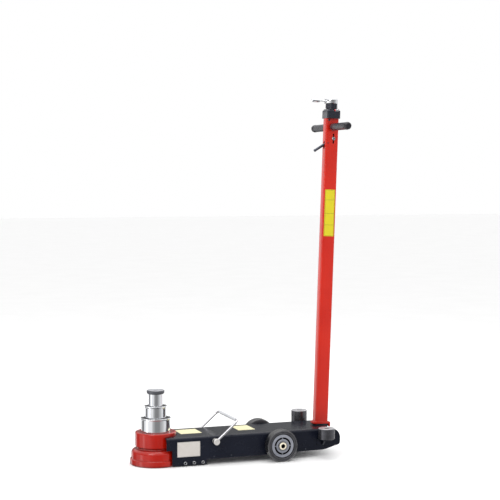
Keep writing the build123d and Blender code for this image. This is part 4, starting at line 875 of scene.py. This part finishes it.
# ---------------------------------------------------------------------------
# carrying bail
# ---------------------------------------------------------------------------
BX, BZ, BA, BY, WR = 184.8, 81.2, 102.5, 105.5, 4.0
bd = rad(41.0)
cb, sb = math.cos(bd), math.sin(bd)


def bpt(r_, y, q=0.0):
    return Vector((BX + r_ * cb - q * sb, y, BZ + r_ * sb + q * cb))


route = rnd([(7.0, BY), (BA, BY, 13), (BA, -BY, 13), (7.0, -BY)], closed=False, n=12)
dense = []
for a, b_ in zip(route, route[1:]):
    k = max(1, int(math.hypot(b_[0] - a[0], b_[1] - a[1]) / 6))
    dense += [(a[0] + (b_[0] - a[0]) * i / k, a[1] + (b_[1] - a[1]) * i / k) for i in range(k)]
dense.append(route[-1])
b = tube_bm([bpt(r_, y) for r_, y in dense], lambda L, T: WR, seg=24, up=Vector((-sb, 0, cb)))
for sy in (-1, 1):
    F = yframe(BX, BZ, sy * BY)
    join_into(b, lathe_bm(rnd([(5.1, -4.3, 0.3), (10.6, -4.3, 1.2), (10.6, 4.3, 1.2), (5.1, 4.3, 0.3)], n=4), 64, F))
finish_mesh("bail_wire", b, CHRB, "bail", ["bail_handle"], angle=38)
# ribbed sleeve on the crossbar
gp = [(4.02, -86.0), (5.0, -86.0, 0.3)]
y = -84.6
while y < 84.0:
    gp += [(5.3, y - 0.3, 0.1), (5.6, y, 0.2), (5.6, y + 3.6, 0.2), (5.3, y + 3.9, 0.1), (5.3, y + 4.9, 0.1)]
    y += 5.45
gp += [(5.0, 86.0, 0.3), (4.02, 86.0)]
lathe("bail_sleeve", gp, SLEEVE, "bail", ["bail_grip"], seg=40, frame_=fr(bpt(BA, 0), (cb, 0, sb), (0, 1, 0)), n=2, angle=25)
b = bmesh.new()
for sy in (-1, 1):
    F = yframe(BX, BZ)
    join_into(b, lathe_bm(rnd([(a, sy * c_, *r) for a, c_, *r in [(0, 80.0), (6.0, 80.0), (6.0, 89.72), (9.0, 89.72, 0.3), (9.0, 100.8, 0.6), (5.0, 100.8), (5.0, 110.25), (10.9, 110.25, 0.5), (11.3, 111.0, 0.6),
                                                                   (10.9, 112.8, 1.4), (9.0, 113.8, 1.2), (6.9, 113.2, 1.4), (4.6, 112.7, 1.0), (2.4, 113.3, 2), (0, 113.5)]], closed=False, n=4), 64, F, closed=False))
finish_mesh("bail_pivot_studs", b, STUD, CHASSIS, ["bail_studs"], angle=30)

# ---------------------------------------------------------------------------
# extension adapters, their brackets and welds
# ---------------------------------------------------------------------------
AX_, AY_, AZ_, AR = 583.1, 129.2, 69.9, 28.7
for name, sy, h, m, body in (("adapter_short", -1, 37.9, ADS, "short_adapter"), ("adapter_tall", 1, 61.5, ADT, "tall_adapter")):
    zt = AZ_ + h
    # the bore of each adapter is painted shade, near-black
    # the top face of each adapter takes a lighter copy of the same steel: painted highlight
    lathe(name + "_turned", [(0, AZ_ - 7.5), (8.2, AZ_ - 7.5, 0.3), (9.0, AZ_ - 6.6), (9.0, AZ_, 0.3), (27.0, AZ_, 0.4), (28.7, AZ_ + 1.7, 0.5), (28.7, zt - 1.8, 0.6), (26.9, zt, 0.7),
                             (11.1, zt, 0.4), (9.3, zt - 1.7, 0.3), (9.3, zt - 9.6, 0.3), (0, zt - 9.6)],
          [m, ADAPTER_TOP_HIGHLIGHT, RECESS_SHADE], body, [name], seg=128, frame_=fr((AX_, sy * AY_, 0), (1, 0, 0), (0, 0, 1)), n=3,
          matfn=lambda r, z, zt=zt: 2 if r < 9.6 and z > zt - 12 else (1 if z > zt - 1.0 else 0))

b = bmesh.new()
for sy in (-1, 1):
    # shelf: straight at the side plate, round under the adapter
    o = [(-20, 39.4, 0), (-20, 0, 0)] + [(20 * math.cos(t), 20 * math.sin(t), 0) for t in [rad(180 + 180 * i / 20) for i in range(1, 20)]] + [(20, 0, 0), (20, 39.4, 0)]
    o = [(x, y_) for x, y_, _ in o]
    F = fr((AX_, sy * AY_, 0), (1, 0, 0), (0, 0, 1))
    loops = [[(x, -sy * y_) for x, y_ in o], circ(0, 0, 9.4, 32)]
    join_into(b, plate_bm(loops, 64.4, 69.6, F))
    join_into(b, plate_bm([rrect(AX_, 52.9, 40, 24, 3)], 89.75, 93.7, Matrix(((1, 0, 0, 0), (0, 0, sy, 0), (0, 1, 0, 0), (0, 0, 0, 1)))))
    F = fr((AX_ - 3, 0, 0), (0, 1, 0), (1, 0, 0))
    join_into(b, plate_bm([[(sy * 93.7, 64.4), (sy * 93.7, 41.2), (sy * 96.5, 41.2), (sy * 115.2, 61.0), (sy * 115.2, 64.4)]], 0, 6, F))
finish_mesh("adapter_shelves", b, NAVY, CHASSIS, ["adapter_brackets"], bevel=0.6, bseg=2)


def weld(name, pts, r_, m, body, closed=True, pitch=2.6, seed=3, off=None):
    """Rippled weld bead along a path in mm; the bead swells with each ripple."""
    rng = random.Random(seed)
    P = [Vector(p) for p in pts]
    if closed:
        P.append(P[0])
    dn, acc = [], 0.0
    for a, b_ in zip(P, P[1:]):
        L = (b_ - a).length
        k = max(1, int(L / (pitch / 3)))
        for i in range(k):
            dn.append(a.lerp(b_, i / k))
    if not closed:
        dn.append(P[-1])
    b2 = bmesh.new()
    N = len(dn)
    rings = []
    L = 0.0
    for i, p in enumerate(dn):
        if closed:
            t = (dn[(i + 1) % N] - dn[i - 1]).normalized()
        else:
            t = (dn[min(N - 1, i + 1)] - dn[max(0, i - 1)]).normalized()
        if i:
            L += (dn[i] - dn[i - 1]).length
        up = off if off is not None else Vector((0, 0, 1))
        w = t.cross(up).normalized()
        u = w.cross(t)
        rr = r_ * (0.9 + 0.13 * math.cos(2 * math.pi * L / pitch) + 0.05 * rng.uniform(-1, 1))
        if not closed and (i < 2 or i > N - 3):
            rr *= 0.6
        rings.append([b2.verts.new(p + w * (rr * math.cos(2 * math.pi * k / 10)) + u * (rr * math.sin(2 * math.pi * k / 10))) for k in range(10)])
    last = N if closed else N - 1
    for i in range(last):
        A, B = rings[i], rings[(i + 1) % N]
        for k in range(10):
            b2.faces.new((A[k], A[(k + 1) % 10], B[(k + 1) % 10], B[k]))
    if not closed:
        b2.faces.new(rings[0][::-1])
        b2.faces.new(rings[-1])
    return finish_mesh(name, b2, m, body, (), angle=60)


for side, sy in (("near", -1), ("far", 1)):
    weld("shelf_weld_" + side, [(563.1, sy * 90.4, 41.5), (563.1, sy * 90.4, 64.4)], 1.5, NAVY, CHASSIS, closed=False, off=Vector((1, 0, 0)))
    weld("shelf_weld_b_" + side, [(603.1, sy * 90.4, 41.5), (603.1, sy * 90.4, 64.4)], 1.5, NAVY, CHASSIS, closed=False, off=Vector((1, 0, 0)))
    weld("shelf_weld_t_" + side, [(564.5, sy * 94.6, 64.1), (601.7, sy * 94.6, 64.1)], 1.3, NAVY, CHASSIS, closed=False)

# ---------------------------------------------------------------------------
# mast: foot, tube, grips, valve head
# ---------------------------------------------------------------------------
MF = mframe()
b = plate_bm([rrect(1.0, 0, 64, 39, 4, n=5), circ(5, 0, 5.6, 24), circ(16, 8.5, 2.7, 12)], 44.5, 50.5, MF)
join_into(b, plate_bm([rrect(30.0, 0, 6.0, 36, 1.2, n=3)], 34.0, 44.6, MF))
for sv in (-1, 1):
    Y_ = 14.0 * sv
    F = Matrix(((C, S, 0, PX), (0, 0, 1, 0), (-S, C, 0, PZ), (0, 0, 0, 1)))   # x along u, y along w, z along v
    ear = rnd([(-21, 44.5), (21, 44.5), (21, 0, 6), (14.8, -12.5, 6), (0, -17, 8), (-14.8, -12.5, 6), (-21, 0, 6)], n=4)
    join_into(b, plate_bm([ear, circ(0, 0, 9.1, 32)], min(9.0 * sv, 19.0 * sv), max(9.0 * sv, 19.0 * sv), F))
for f in b.faces:
    c_ = f.calc_center_median()
    u_, w_ = (c_.x - PX) * C - (c_.z - PZ) * S, (c_.x - PX) * S + (c_.z - PZ) * C
    f.material_index = 1 if w_ < 44.3 and u_ < 26 else 0
finish_mesh("mast_foot_plate", b, [RED_M, BLACKC], "mast", ["mast_foot"], bevel=0.7, bseg=3)
ring = [mpt(u, v, 50.9) for u, v in rrect(0, 0, 49.2, 33.2, 5.2, n=5)]
weld("mast_foot_weld", ring, 1.9, RED_M, "mast", pitch=3.4, off=Vector((S, 0, C)))

# tube: a folded blank with its cut-outs, closed at the rear wall
TU, TV, TR, TT = 48.0, 32.0, 4.5, 2.5
prof = rnd([(TU / 2, 0), (TU / 2, -TV / 2, TR), (-TU / 2, -TV / 2, TR), (-TU / 2, TV / 2, TR), (TU / 2, TV / 2, TR), (TU / 2, 0)], closed=False, n=7)
tab = path_table(prof)
PL = tab[-1][0]


def s_of(u, v):
    best = None
    for (sa, pa), (sb_, pb) in zip(tab, tab[1:]):
        ax, ay, bx_, by = pa[0], pa[1], pb[0], pb[1]
        L2 = (bx_ - ax) ** 2 + (by - ay) ** 2
        t = max(0, min(1, ((u - ax) * (bx_ - ax) + (v - ay) * (by - ay)) / L2))
        d = math.hypot(ax + t * (bx_ - ax) - u, ay + t * (by - ay) - v)
        if best is None or d < best[0]:
            best = (d, sa + t * (sb_ - sa))
    return best[1]


def slot_loop(w0, w1, s0, width, n=7):
    r_ = width / 2
    return ([(w1 - r_ + r_ * math.cos(t), s0 + r_ * math.sin(t)) for t in [rad(-90 + 180 * i / n) for i in range(n + 1)]]
            + [(w0 + r_ + r_ * math.cos(t), s0 + r_ * math.sin(t)) for t in [rad(90 + 180 * i / n) for i in range(n + 1)]])


loops = [[(50.5, 0), (1134.8, 0), (1134.8, PL), (50.5, PL)]]
for v in (-TV / 2, TV / 2):
    loops.append(slot_loop(1045.7, 1081.7, s_of(5.0, v), 5.4))
    loops.append(circ(1104.4, s_of(0, v), 10.05, 36))
    loops.append(circ(1129.0, s_of(-14, v), 2.05, 12))
    loops.append(circ(1047.8, s_of(-15, v), 2.15, 12))
loops.append(slot_loop(1026.5, 1054.5, s_of(-TU / 2, 0), 10.5, n=9))
b = wrap_bm(loops, tab, lambda a, p, q: mpt(p, q, a))
for f in b.faces:
    f.normal_update()
    c_ = f.calc_center_median()
    u_ = (c_.x - PX) * C - (c_.z - PZ) * S
    v_ = c_.y
    # outward direction of a rounded rectangle
    o = Vector((C * (1 if u_ > 0 else -1), 0, -S * (1 if u_ > 0 else -1))) if abs(u_) / (TU / 2) > abs(v_) / (TV / 2) else Vector((0, 1 if v_ > 0 else -1, 0))
    if f.normal.dot(o) < 0:
        f.normal_flip()
finish_mesh("mast_column", b, RED_M, "mast", ["mast_tube"], solid=TT, bevel=0.35, bseg=2, recalc=False)

# cross bar and the two hand grips
GW = 1104.4
GF = fr(mpt(0, 0, GW), (S, 0, C), (0, 1, 0))
lathe("grip_cross_bar", [(7.6, -153.8), (10.0, -153.8, 0.6), (10.0, 153.8, 0.6), (7.6, 153.8)], DSTEEL, "mast", ["grip_bar"], seg=48, frame_=GF, n=3)


def grip(sv):
    """Moulded grip: shallow long flutes on the body, a smooth bead, a rounded end."""
    seg = 120
    bm_ = bmesh.new()
    pr = rnd([(10.02, 21.0), (12.0, 21.0, 0.5), (12.9, 22.2, 0.6), (12.9, 26), (12.9, 131), (12.9, 133.6, 0.8), (12.2, 135.2, 0.8), (12.2, 137.0, 0.6), (13.3, 138.4, 0.8), (13.7, 142, 4),
              (13.7, 147.0, 4), (12.9, 152.0, 3), (10.6, 156.0, 2.5), (7.4, 157.5, 1.2), (0, 157.5)], closed=False, n=4)
    full = []
    for a, b_ in zip(pr, pr[1:]):
        k = max(1, int(math.hypot(b_[0] - a[0], b_[1] - a[1]) / 4))
        full += [(a[0] + (b_[0] - a[0]) * i / k, a[1] + (b_[1] - a[1]) * i / k) for i in range(k)]
    full.append(pr[-1])
    rings = []
    for r_, y_ in full:
        if r_ < 1e-6:
            rings.append([bm_.verts.new(GF @ Vector((0, 0, sv * y_)))])
            continue
        ramp_ = max(0.0, min(1.0, (y_ - 27) / 4)) * max(0.0, min(1.0, (131 - y_) / 4)) if r_ > 12.5 else 0.0
        lobe = max(0.0, min(1.0, (y_ - 139) / 2.5)) * max(0.0, min(1.0, (154 - y_) / 2.5))
        row = []
        for k in range(seg):
            t = 2 * math.pi * k / seg
            g = 0.5 - 0.5 * math.cos(24 * t)
            d = -0.55 * ramp_ * (g ** 3) - 0.8 * lobe * (0.5 - 0.5 * math.cos(10 * t)) ** 2
            row.append(bm_.verts.new(GF @ Vector(((r_ + d) * math.cos(t), (r_ + d) * math.sin(t), sv * y_))))
        rings.append(row)
    for (A, pa), (B, pb) in zip(list(zip(rings, full))[:-1], list(zip(rings, full))[1:]):
        ym = (pa[1] + pb[1]) / 2
        for k in range(seg):
            k2 = (k + 1) % seg
            f = bm_.faces.new((A[k], A[k2], B[0])) if len(B) == 1 else bm_.faces.new((A[k], A[k2], B[k2], B[k]))
            f.material_index = 1 if ym > 135.4 else 0
    return bm_


b = grip(-1)
join_into(b, grip(1))
finish_mesh("hand_grip_pair", b, [GRIP, GRIPE], "mast", ["hand_grips"], angle=40)

# valve head: block, sloped shoulders, round neck, all one casting
sec = []


def lp(w, h_, r_, ww):
    return [MF @ Vector((x, y_, ww)) for x, y_ in superloop(w, h_, r_, 96)]


sec = [lp(47.4, 54.4, 4.6, 1134.8), lp(48.7, 55.7, 5.0, 1135.3), lp(49, 56, 5, 1136.0), lp(49, 56, 5, 1160.4), lp(48.7, 55.7, 5, 1162.0), lp(47.8, 54.8, 5.5, 1163.0),
       lp(40.6, 43.0, 9, 1167.2), lp(39.2, 41.4, 10, 1168.2), lp(38.9, 39.6, 19.3, 1169.0), lp(39.0, 39.0, 19.49, 1170.4), lp(42.2, 42.2, 21.09, 1171.0), lp(43, 43, 21.49, 1171.6),
       lp(43, 43, 21.49, 1186.8), lp(42.2, 42.2, 21.09, 1187.5)]
b = loft_bm(sec)
join_into(b, plate_bm([rrect(0, 0, 42.8, 26.8, 2.1)], 1122.8, 1134.9, MF))
finish_mesh("valve_head", b, BLACKC, "mast", ["valve_body"], angle=26)
# cover joint and cap screws of the valve head
b = bmesh.new()
for u_, v_ in ((-17.5, -21), (17.5, -21), (-17.5, 21), (17.5, 21)):
    F = fr(mpt(u_, v_, 1166.2), (C, 0, -S), (S, 0, C))
    join_into(b, lathe_bm(rnd([(0, -2), (2.6, -2), (2.6, 1.9, 0.4), (1.6, 2.1, 0.1), (1.5, 0.6), (0, 0.6)], closed=True, n=3), 24, F))
finish_mesh("valve_head_screws", b, DSTEEL, "mast", (), angle=30)

b = lathe_bm(rnd([(0, -6.4), (3.4, -6.4, 0.6), (3.4, -4.6), (4.2, -4.4, 0.5), (4.2, 1.0, 0.4), (3.5, 1.4, 0.2), (3.5, 2.4, 0.2), (4.2, 2.8, 0.4), (4.2, 7.8, 0.6), (3.0, 8.6, 0.4), (2.0, 8.6, 0.2), (2.0, 7.4), (0, 7.4)], closed=True, n=3),
             36, fr(mpt(7.0, -26.2, 1163.4), (0, 1, 0), (C, 0, -S)), matfn=lambda r, z: 1 if z < -3.6 else 0)
finish_mesh("pilot_plug", b, [BOLT, REDCAP], "mast", (), angle=30)

b = bmesh.new()
for sv in (-1, 1):
    F = fr(mpt(-14, sv * 16.0, 1129.0), (C, 0, -S), (0, sv, 0))
    join_into(b, lathe_bm(rnd([(0, -7.8), (2.0, -7.8), (2.0, 0.05), (3.6, 0.05, 0.2), (3.6, 1.0, 0.6), (2.2, 1.75, 0.5), (1.25, 1.8), (1.25, 0.8), (0, 0.8)], closed=True, n=3), 30, F))
finish_mesh("valve_side_screws", b, DSTEEL, "mast", ["valve_screws"], angle=30)

# air inlet: hexagon and quick-coupling plug
NF = fr(mpt(0, 0, 1149), (S, 0, C), (0, 1, 0))
b = lathe_bm(rnd([(2.4, 16.2), (6.0, 16.2), (6.0, 28.1), (6.4, 34.8), (6.4, 40, 0.4), (5.9, 40.6), (5.9, 52.0, 0.4), (4.5, 53.2, 0.5), (4.5, 55.4, 0.5), (5.2, 56.0, 0.3), (5.2, 57.2, 0.5), (4.4, 58.0, 0.4), (2.4, 58.0, 0.2)], n=3), 48, NF)
join_into(b, plate_bm([hexagon(0, 0, 8.6), circ(0, 0, 3.0, 24)], 28.05, 35.0, NF))
finish_mesh("air_inlet_plug", b, BRASS, "mast", ["air_nipple"], angle=28)

# clamp cross bolt in the guide slot
SF = fr(mpt(5.0, 0, 1063.7), (C, 0, -S), (0, -1, 0))
b = lathe_bm(rnd([(0, -16.2), (2.5, -16.2), (2.5, 16.35), (6.0, 16.35, 0.3), (6.0, 18.4, 0.8), (4.4, 19.5, 0.8), (2.9, 19.55, 0.2), (2.6, 18.0), (0, 18.0)], closed=True, n=4), 48, SF)
join_into(b, plate_bm([hexagon(0, 0, 5.0)], -20.2, -16.35, SF))
finish_mesh("clamp_cross_bolt", b, BOLT, "clamp_slide", ["clamp_bolt"], angle=30)

# clamp lever: tongue, round arm, rounded tip, trunnion
fu, fw, tu, tw = -15.0, 1047.8, -61.0, 1017.5
la = math.atan2(1063.7 - fw, 5.0 - fu)
cl, sl = math.cos(la), math.sin(la)
reach = math.hypot(5.0 - fu, 1063.7 - fw)
F = Matrix(((C, S, 0, PX), (0, 0, 1, 0), (-S, C, 0, PZ), (0, 0, 0, 1)))


def lpt(t, q):
    return (fu + t * cl - q * sl, fw + t * sl + q * cl)


outer = rnd([(*lpt(-3, -5), 2), (*lpt(reach + 12, -5), 2.5), (*lpt(reach + 12, 5), 2.5), (*lpt(-3, 5), 2)], n=3)
inner = rnd([(*lpt(reach - 4, -3.3), 1), (*lpt(reach + 9.2, -3.3), 1), (*lpt(reach + 9.2, 3.3), 1), (*lpt(reach - 4, 3.3), 1)], n=2)
b = plate_bm([outer, inner], -3, 3, F)
arm = math.hypot(fu - tu, fw - tw)
au, aw = (tu - fu) / arm, (tw - fw) / arm
AFm = fr(mpt(fu, 0, fw), (0, 1, 0), (au * C + aw * S, 0, -au * S + aw * C))
join_into(b, lathe_bm(rnd([(0, -2), (3.9, -2), (3.9, 8), (4.5, 12, 4), (4.5, arm - 12, 3), (4.2, arm - 9, 3), (4.9, arm - 5, 2.5), (4.9, arm, 4.0), (0, arm)], closed=False, n=5), 40, AFm, closed=False))
join_into(b, lathe_bm([(0, -16.3), (2.0, -16.3), (2.0, 16.3), (0, 16.3)], 24, fr(mpt(fu, 0, fw), (S, 0, C), (0, 1, 0)), closed=False))
finish_mesh("clamp_hand_lever", b, DSTEEL, "clamp_handle", ["clamp_lever"], angle=32)

# chrome valve lever: cap, skirt lobe, arm with a barrel and a turned end
TOPF = mframe()
b = lathe_bm(rnd([(0, 1172.7), (6.0, 1172.7), (6.0, 1187.95), (25.2, 1187.95, 0.5), (26.5, 1189.2, 0.6), (26.5, 1201.6, 1.2), (25.4, 1203.6, 1.4), (22.6, 1204.5, 1.5), (8.0, 1204.85, 0.5), (7.4, 1204.2, 0.3), (0, 1204.2)],
             closed=False, n=5), 128, TOPF, closed=False)
lobe = rnd([(26.3 * math.cos(t), 26.3 * math.sin(t)) for t in [rad(-66 + 82 * i / 20) for i in range(21)]] + [(22.2 * math.cos(t), 22.2 * math.sin(t)) for t in [rad(16 - 82 * i / 18) for i in range(19)]])
join_into(b, plate_bm([lobe], 1173.1, 1189.0, TOPF))
LF = fr(mpt(0, 0, 1196.6), (0, 1, 0), (-C, 0, S))
join_into(b, lathe_bm(rnd([(0, 24.0), (3.4, 24.0), (3.2, 27.5, 1.5), (2.5, 30, 2), (2.3, 44.2, 0.6), (4.3, 45.4, 1.2), (6.1, 48.8, 2), (6.7, 56.0, 8), (6.9, 65.0, 6), (6.8, 70.2, 0.5), (6.0, 70.6, 0.2), (6.0, 71.6, 0.2),
                           (6.6, 72.0, 0.5), (6.1, 74.6, 1.6), (4.2, 76.4, 1.2), (0, 76.4)], closed=False, n=4), 56, LF, closed=False,
                       matfn=lambda r, z: 1 if (70.5 < z < 72.1 and r < 6.5) else 0))
finish_mesh("air_valve_lever", b, [CHRM, DSTEEL], "valve_lever", ["air_lever"], angle=32)

# ---------------------------------------------------------------------------
# films and plates, all blank
# ---------------------------------------------------------------------------


def film_piece(name, w, h_, r_, z0, z1, F, mats, body, nodes=(), border=None, cuts=()):
    """Thin film with a raised border line and plain dividing lines as their own faces."""
    b_ = plate_bm([rrect(0, 0, w, h_, r_, n=4)], z0, z1, F, 0)
    t = (z1 - z0) * 0.12
    if border:
        d, lw = border
        join_into(b_, plate_bm([rrect(0, 0, w - 2 * d, h_ - 2 * d, max(0.3, r_ - d), n=3), rrect(0, 0, w - 2 * d - 2 * lw, h_ - 2 * d - 2 * lw, max(0.2, r_ - d - lw), n=3)], z1 - t, z1 + t, F, 1))
        for (x0, y0, x1, y1) in cuts:
            join_into(b_, plate_bm([[(x0, y0), (x1, y0), (x1, y1), (x0, y1)]], z1 - t, z1 + t, F, 1))
    return finish_mesh(name, b_, mats, body, nodes, angle=30)


F = fr(mpt(-0.5, -16.0, 799.5), (C, 0, -S), (0, -1, 0))
# local y runs up the mast
F = Matrix.Translation(mpt(-0.5, -16.0, 799.5)) @ Matrix(((C, S, 0, 0), (0, 0, -1, 0), (-S, C, 0, 0), (0, 0, 0, 1)))
film_piece("mast_film", 38, 166, 2.2, 0.02, 0.44, F, [YEL, INK], "mast", ["mast_label"], border=(1.6, 0.7),
           cuts=[(-17.4, 46.0, 17.4, 46.7), (-17.4, -2.0, 17.4, -1.3), (-17.4, -43.0, 17.4, -42.3)])
F = Matrix.Translation((91.0, -89.7, 58.5)) @ Matrix(((1, 0, 0, 0), (0, 0, -1, 0), (0, 1, 0, 0), (0, 0, 0, 1)))
film_piece("side_data_plate", 81, 51, 1.5, 0.02, 0.52, F, [DATA, DATAL], CHASSIS, ["blank_labels"], border=(1.4, 0.5))
film_piece("deck_film_front", 76, 80, 1.5, 0.02, 0.34, Matrix.Translation((122.5, 20, 98.5)), [PALE, PALEL], CHASSIS, (), border=(1.5, 0.6))
film_piece("deck_film_rear", 62, 86, 1.5, 0.02, 0.34, Matrix.Translation((326, 22.5, 98.5)), [PALE, PALEL], CHASSIS, (), border=(1.5, 0.6))

# ---------------------------------------------------------------------------
# stage, light, camera
# ---------------------------------------------------------------------------
me = bpy.data.meshes.new("floor")
bm = bmesh.new()
vs = [bm.verts.new(p) for p in ((-30, -30, -0.0004), (30, -30, -0.0004), (30, 30, -0.0004), (-30, 30, -0.0004))]
bm.faces.new(vs)
bm.to_mesh(me)
bm.free()
floor = bpy.data.objects.new("floor", me)
COL.objects.link(floor)
fm = Mat("floor_pale")
fm.p(color=fm.mix(fm.mapr(fm.noise(3, 4, 0.6), 0.3, 0.7, 0, 1), lin(250, 250, 250), lin(253, 253, 253)), rough=0.8, spec=0.2)
me.materials.append(fm.m)
floor.visible_glossy = False

sc = bpy.context.scene
sc.view_settings.view_transform = "Standard"
sc.view_settings.look = "None"
world = bpy.data.worlds.new("studio")
sc.world = world
world.use_nodes = True
wt = world.node_tree
wt.nodes.clear()


def wn(kind, **kw):
    node = wt.nodes.new(kind)
    for k, v in kw.items():
        setattr(node, k, v)
    return node


def wmath(op, a, b_=0.0, c_=0.0):
    node = wn("ShaderNodeMath", operation=op)
    for s_, v in zip(node.inputs, (a, b_, c_)):
        if isinstance(v, bpy.types.NodeSocket):
            wt.links.new(v, s_)
        else:
            s_.default_value = v
    return node.outputs[0]


def wramp(fac, stops):
    node = wn("ShaderNodeValToRGB")
    e = node.color_ramp.elements
    while len(e) < len(stops):
        e.new(0.5)
    for el, (p, v) in zip(e, stops):
        el.position = p
        el.color = (v, v, v, 1)
    wt.links.new(fac, node.inputs[0])
    return node.outputs[0]


tcw = wn("ShaderNodeTexCoord")
sepw = wn("ShaderNodeSeparateXYZ")
wt.links.new(tcw.outputs["Generated"], sepw.inputs[0])
# azimuth as 0..1, 0 straight behind the object as the camera sees it, growing clockwise from above
vx, vy = 0.339, 0.941
az = wmath("ARCTAN2", wmath("SUBTRACT", wmath("MULTIPLY", sepw.outputs[0], vy), wmath("MULTIPLY", sepw.outputs[1], vx)),
           wmath("ADD", wmath("MULTIPLY", sepw.outputs[0], vx), wmath("MULTIPLY", sepw.outputs[1], vy)))
azn = wmath("ADD", wmath("DIVIDE", az, 2 * math.pi), 0.5)        # 0.5 is straight behind, 0.75 to the right
el = sepw.outputs[2]
bands = wramp(azn, [(0.0, 0.32), (0.045, 0.5), (0.08, 0.95), (0.165, 1.0), (0.178, 2.6), (0.198, 2.6), (0.212, 1.0), (0.262, 1.0), (0.285, 0.28), (0.345, 0.1), (0.364, 0.5), (0.378, 1.5), (0.402, 1.5), (0.418, 0.25), (0.45, 0.1), (0.50, 0.35), (0.53, 0.9), (0.66, 0.95), (0.78, 0.85), (0.85, 0.5), (0.885, 0.42), (0.905, 0.27), (0.985, 0.27)])
upm = wn("ShaderNodeMapRange")
upm.interpolation_type = "SMOOTHSTEP"
for k, v in zip(("From Min", "From Max", "To Min", "To Max"), (0.07, 0.15, 0.0, 1.0)):
    upm.inputs[k].default_value = v
wt.links.new(el, upm.inputs["Value"])
sky = wramp(wmath("MULTIPLY_ADD", el, 0.5, 0.5), [(0.0, 0.6), (0.5, 0.4), (0.56, 0.2), (0.61, 0.24), (0.655, 0.7), (0.74, 1.1), (0.9, 1.4), (1.0, 1.6)])
mixg = wn("ShaderNodeMix", data_type="RGBA")
wt.links.new(upm.outputs[0], mixg.inputs[0])
wt.links.new(bands, mixg.inputs[6])
wt.links.new(sky, mixg.inputs[7])
lpw = wn("ShaderNodeLightPath")
bgd, bgg, bgc = wn("ShaderNodeBackground"), wn("ShaderNodeBackground"), wn("ShaderNodeBackground")
bgd.inputs[0].default_value = (1, 1, 1, 1)
bgd.inputs[1].default_value = 0.98
bgc.inputs[0].default_value = (1, 1, 1, 1)
bgc.inputs[1].default_value = 1.0
wt.links.new(mixg.outputs[2], bgg.inputs[0])
m1, m2 = wn("ShaderNodeMixShader"), wn("ShaderNodeMixShader")
wt.links.new(lpw.outputs["Is Glossy Ray"], m1.inputs[0])
wt.links.new(bgd.outputs[0], m1.inputs[1])
wt.links.new(bgg.outputs[0], m1.inputs[2])
wt.links.new(lpw.outputs["Is Camera Ray"], m2.inputs[0])
wt.links.new(m1.outputs[0], m2.inputs[1])
wt.links.new(bgc.outputs[0], m2.inputs[2])
wo = wn("ShaderNodeOutputWorld")
wt.links.new(m2.outputs[0], wo.inputs[0])


def softbox(name, loc, target, size, power, glossy=True):
    ld = bpy.data.lights.new(name, "AREA")
    ld.shape = "RECTANGLE"
    ld.size, ld.size_y = size
    ld.energy = power
    ob_ = bpy.data.objects.new(name, ld)
    ob_.location = loc
    ob_.rotation_euler = (Vector(target) - Vector(loc)).to_track_quat("-Z", "Y").to_euler()
    ob_.visible_glossy = glossy
    COL.objects.link(ob_)
    return ob_


softbox("key_soft", (-2.2, -2.6, 2.6), (0.3, 0, 0.4), (1.8, 1.8), 42)
softbox("top_soft", (0.3, 0.2, 3.4), (0.3, 0, 0), (2.6, 2.0), 34)
softbox("rim_soft", (2.6, 1.8, 1.6), (0.4, 0, 0.4), (1.2, 1.8), 14)

cam = bpy.data.cameras.new("camera")
cam.sensor_fit = "HORIZONTAL"
cam.sensor_width = 36.0
cam.lens = 98.28
cam.clip_end = 200
co = bpy.data.objects.new("camera", cam)
co.location = (-1.2762, -4.4930, 0.9744)
co.rotation_euler = (rad(87.06), 0, rad(-19.84))
COL.objects.link(co)
sc.camera = co
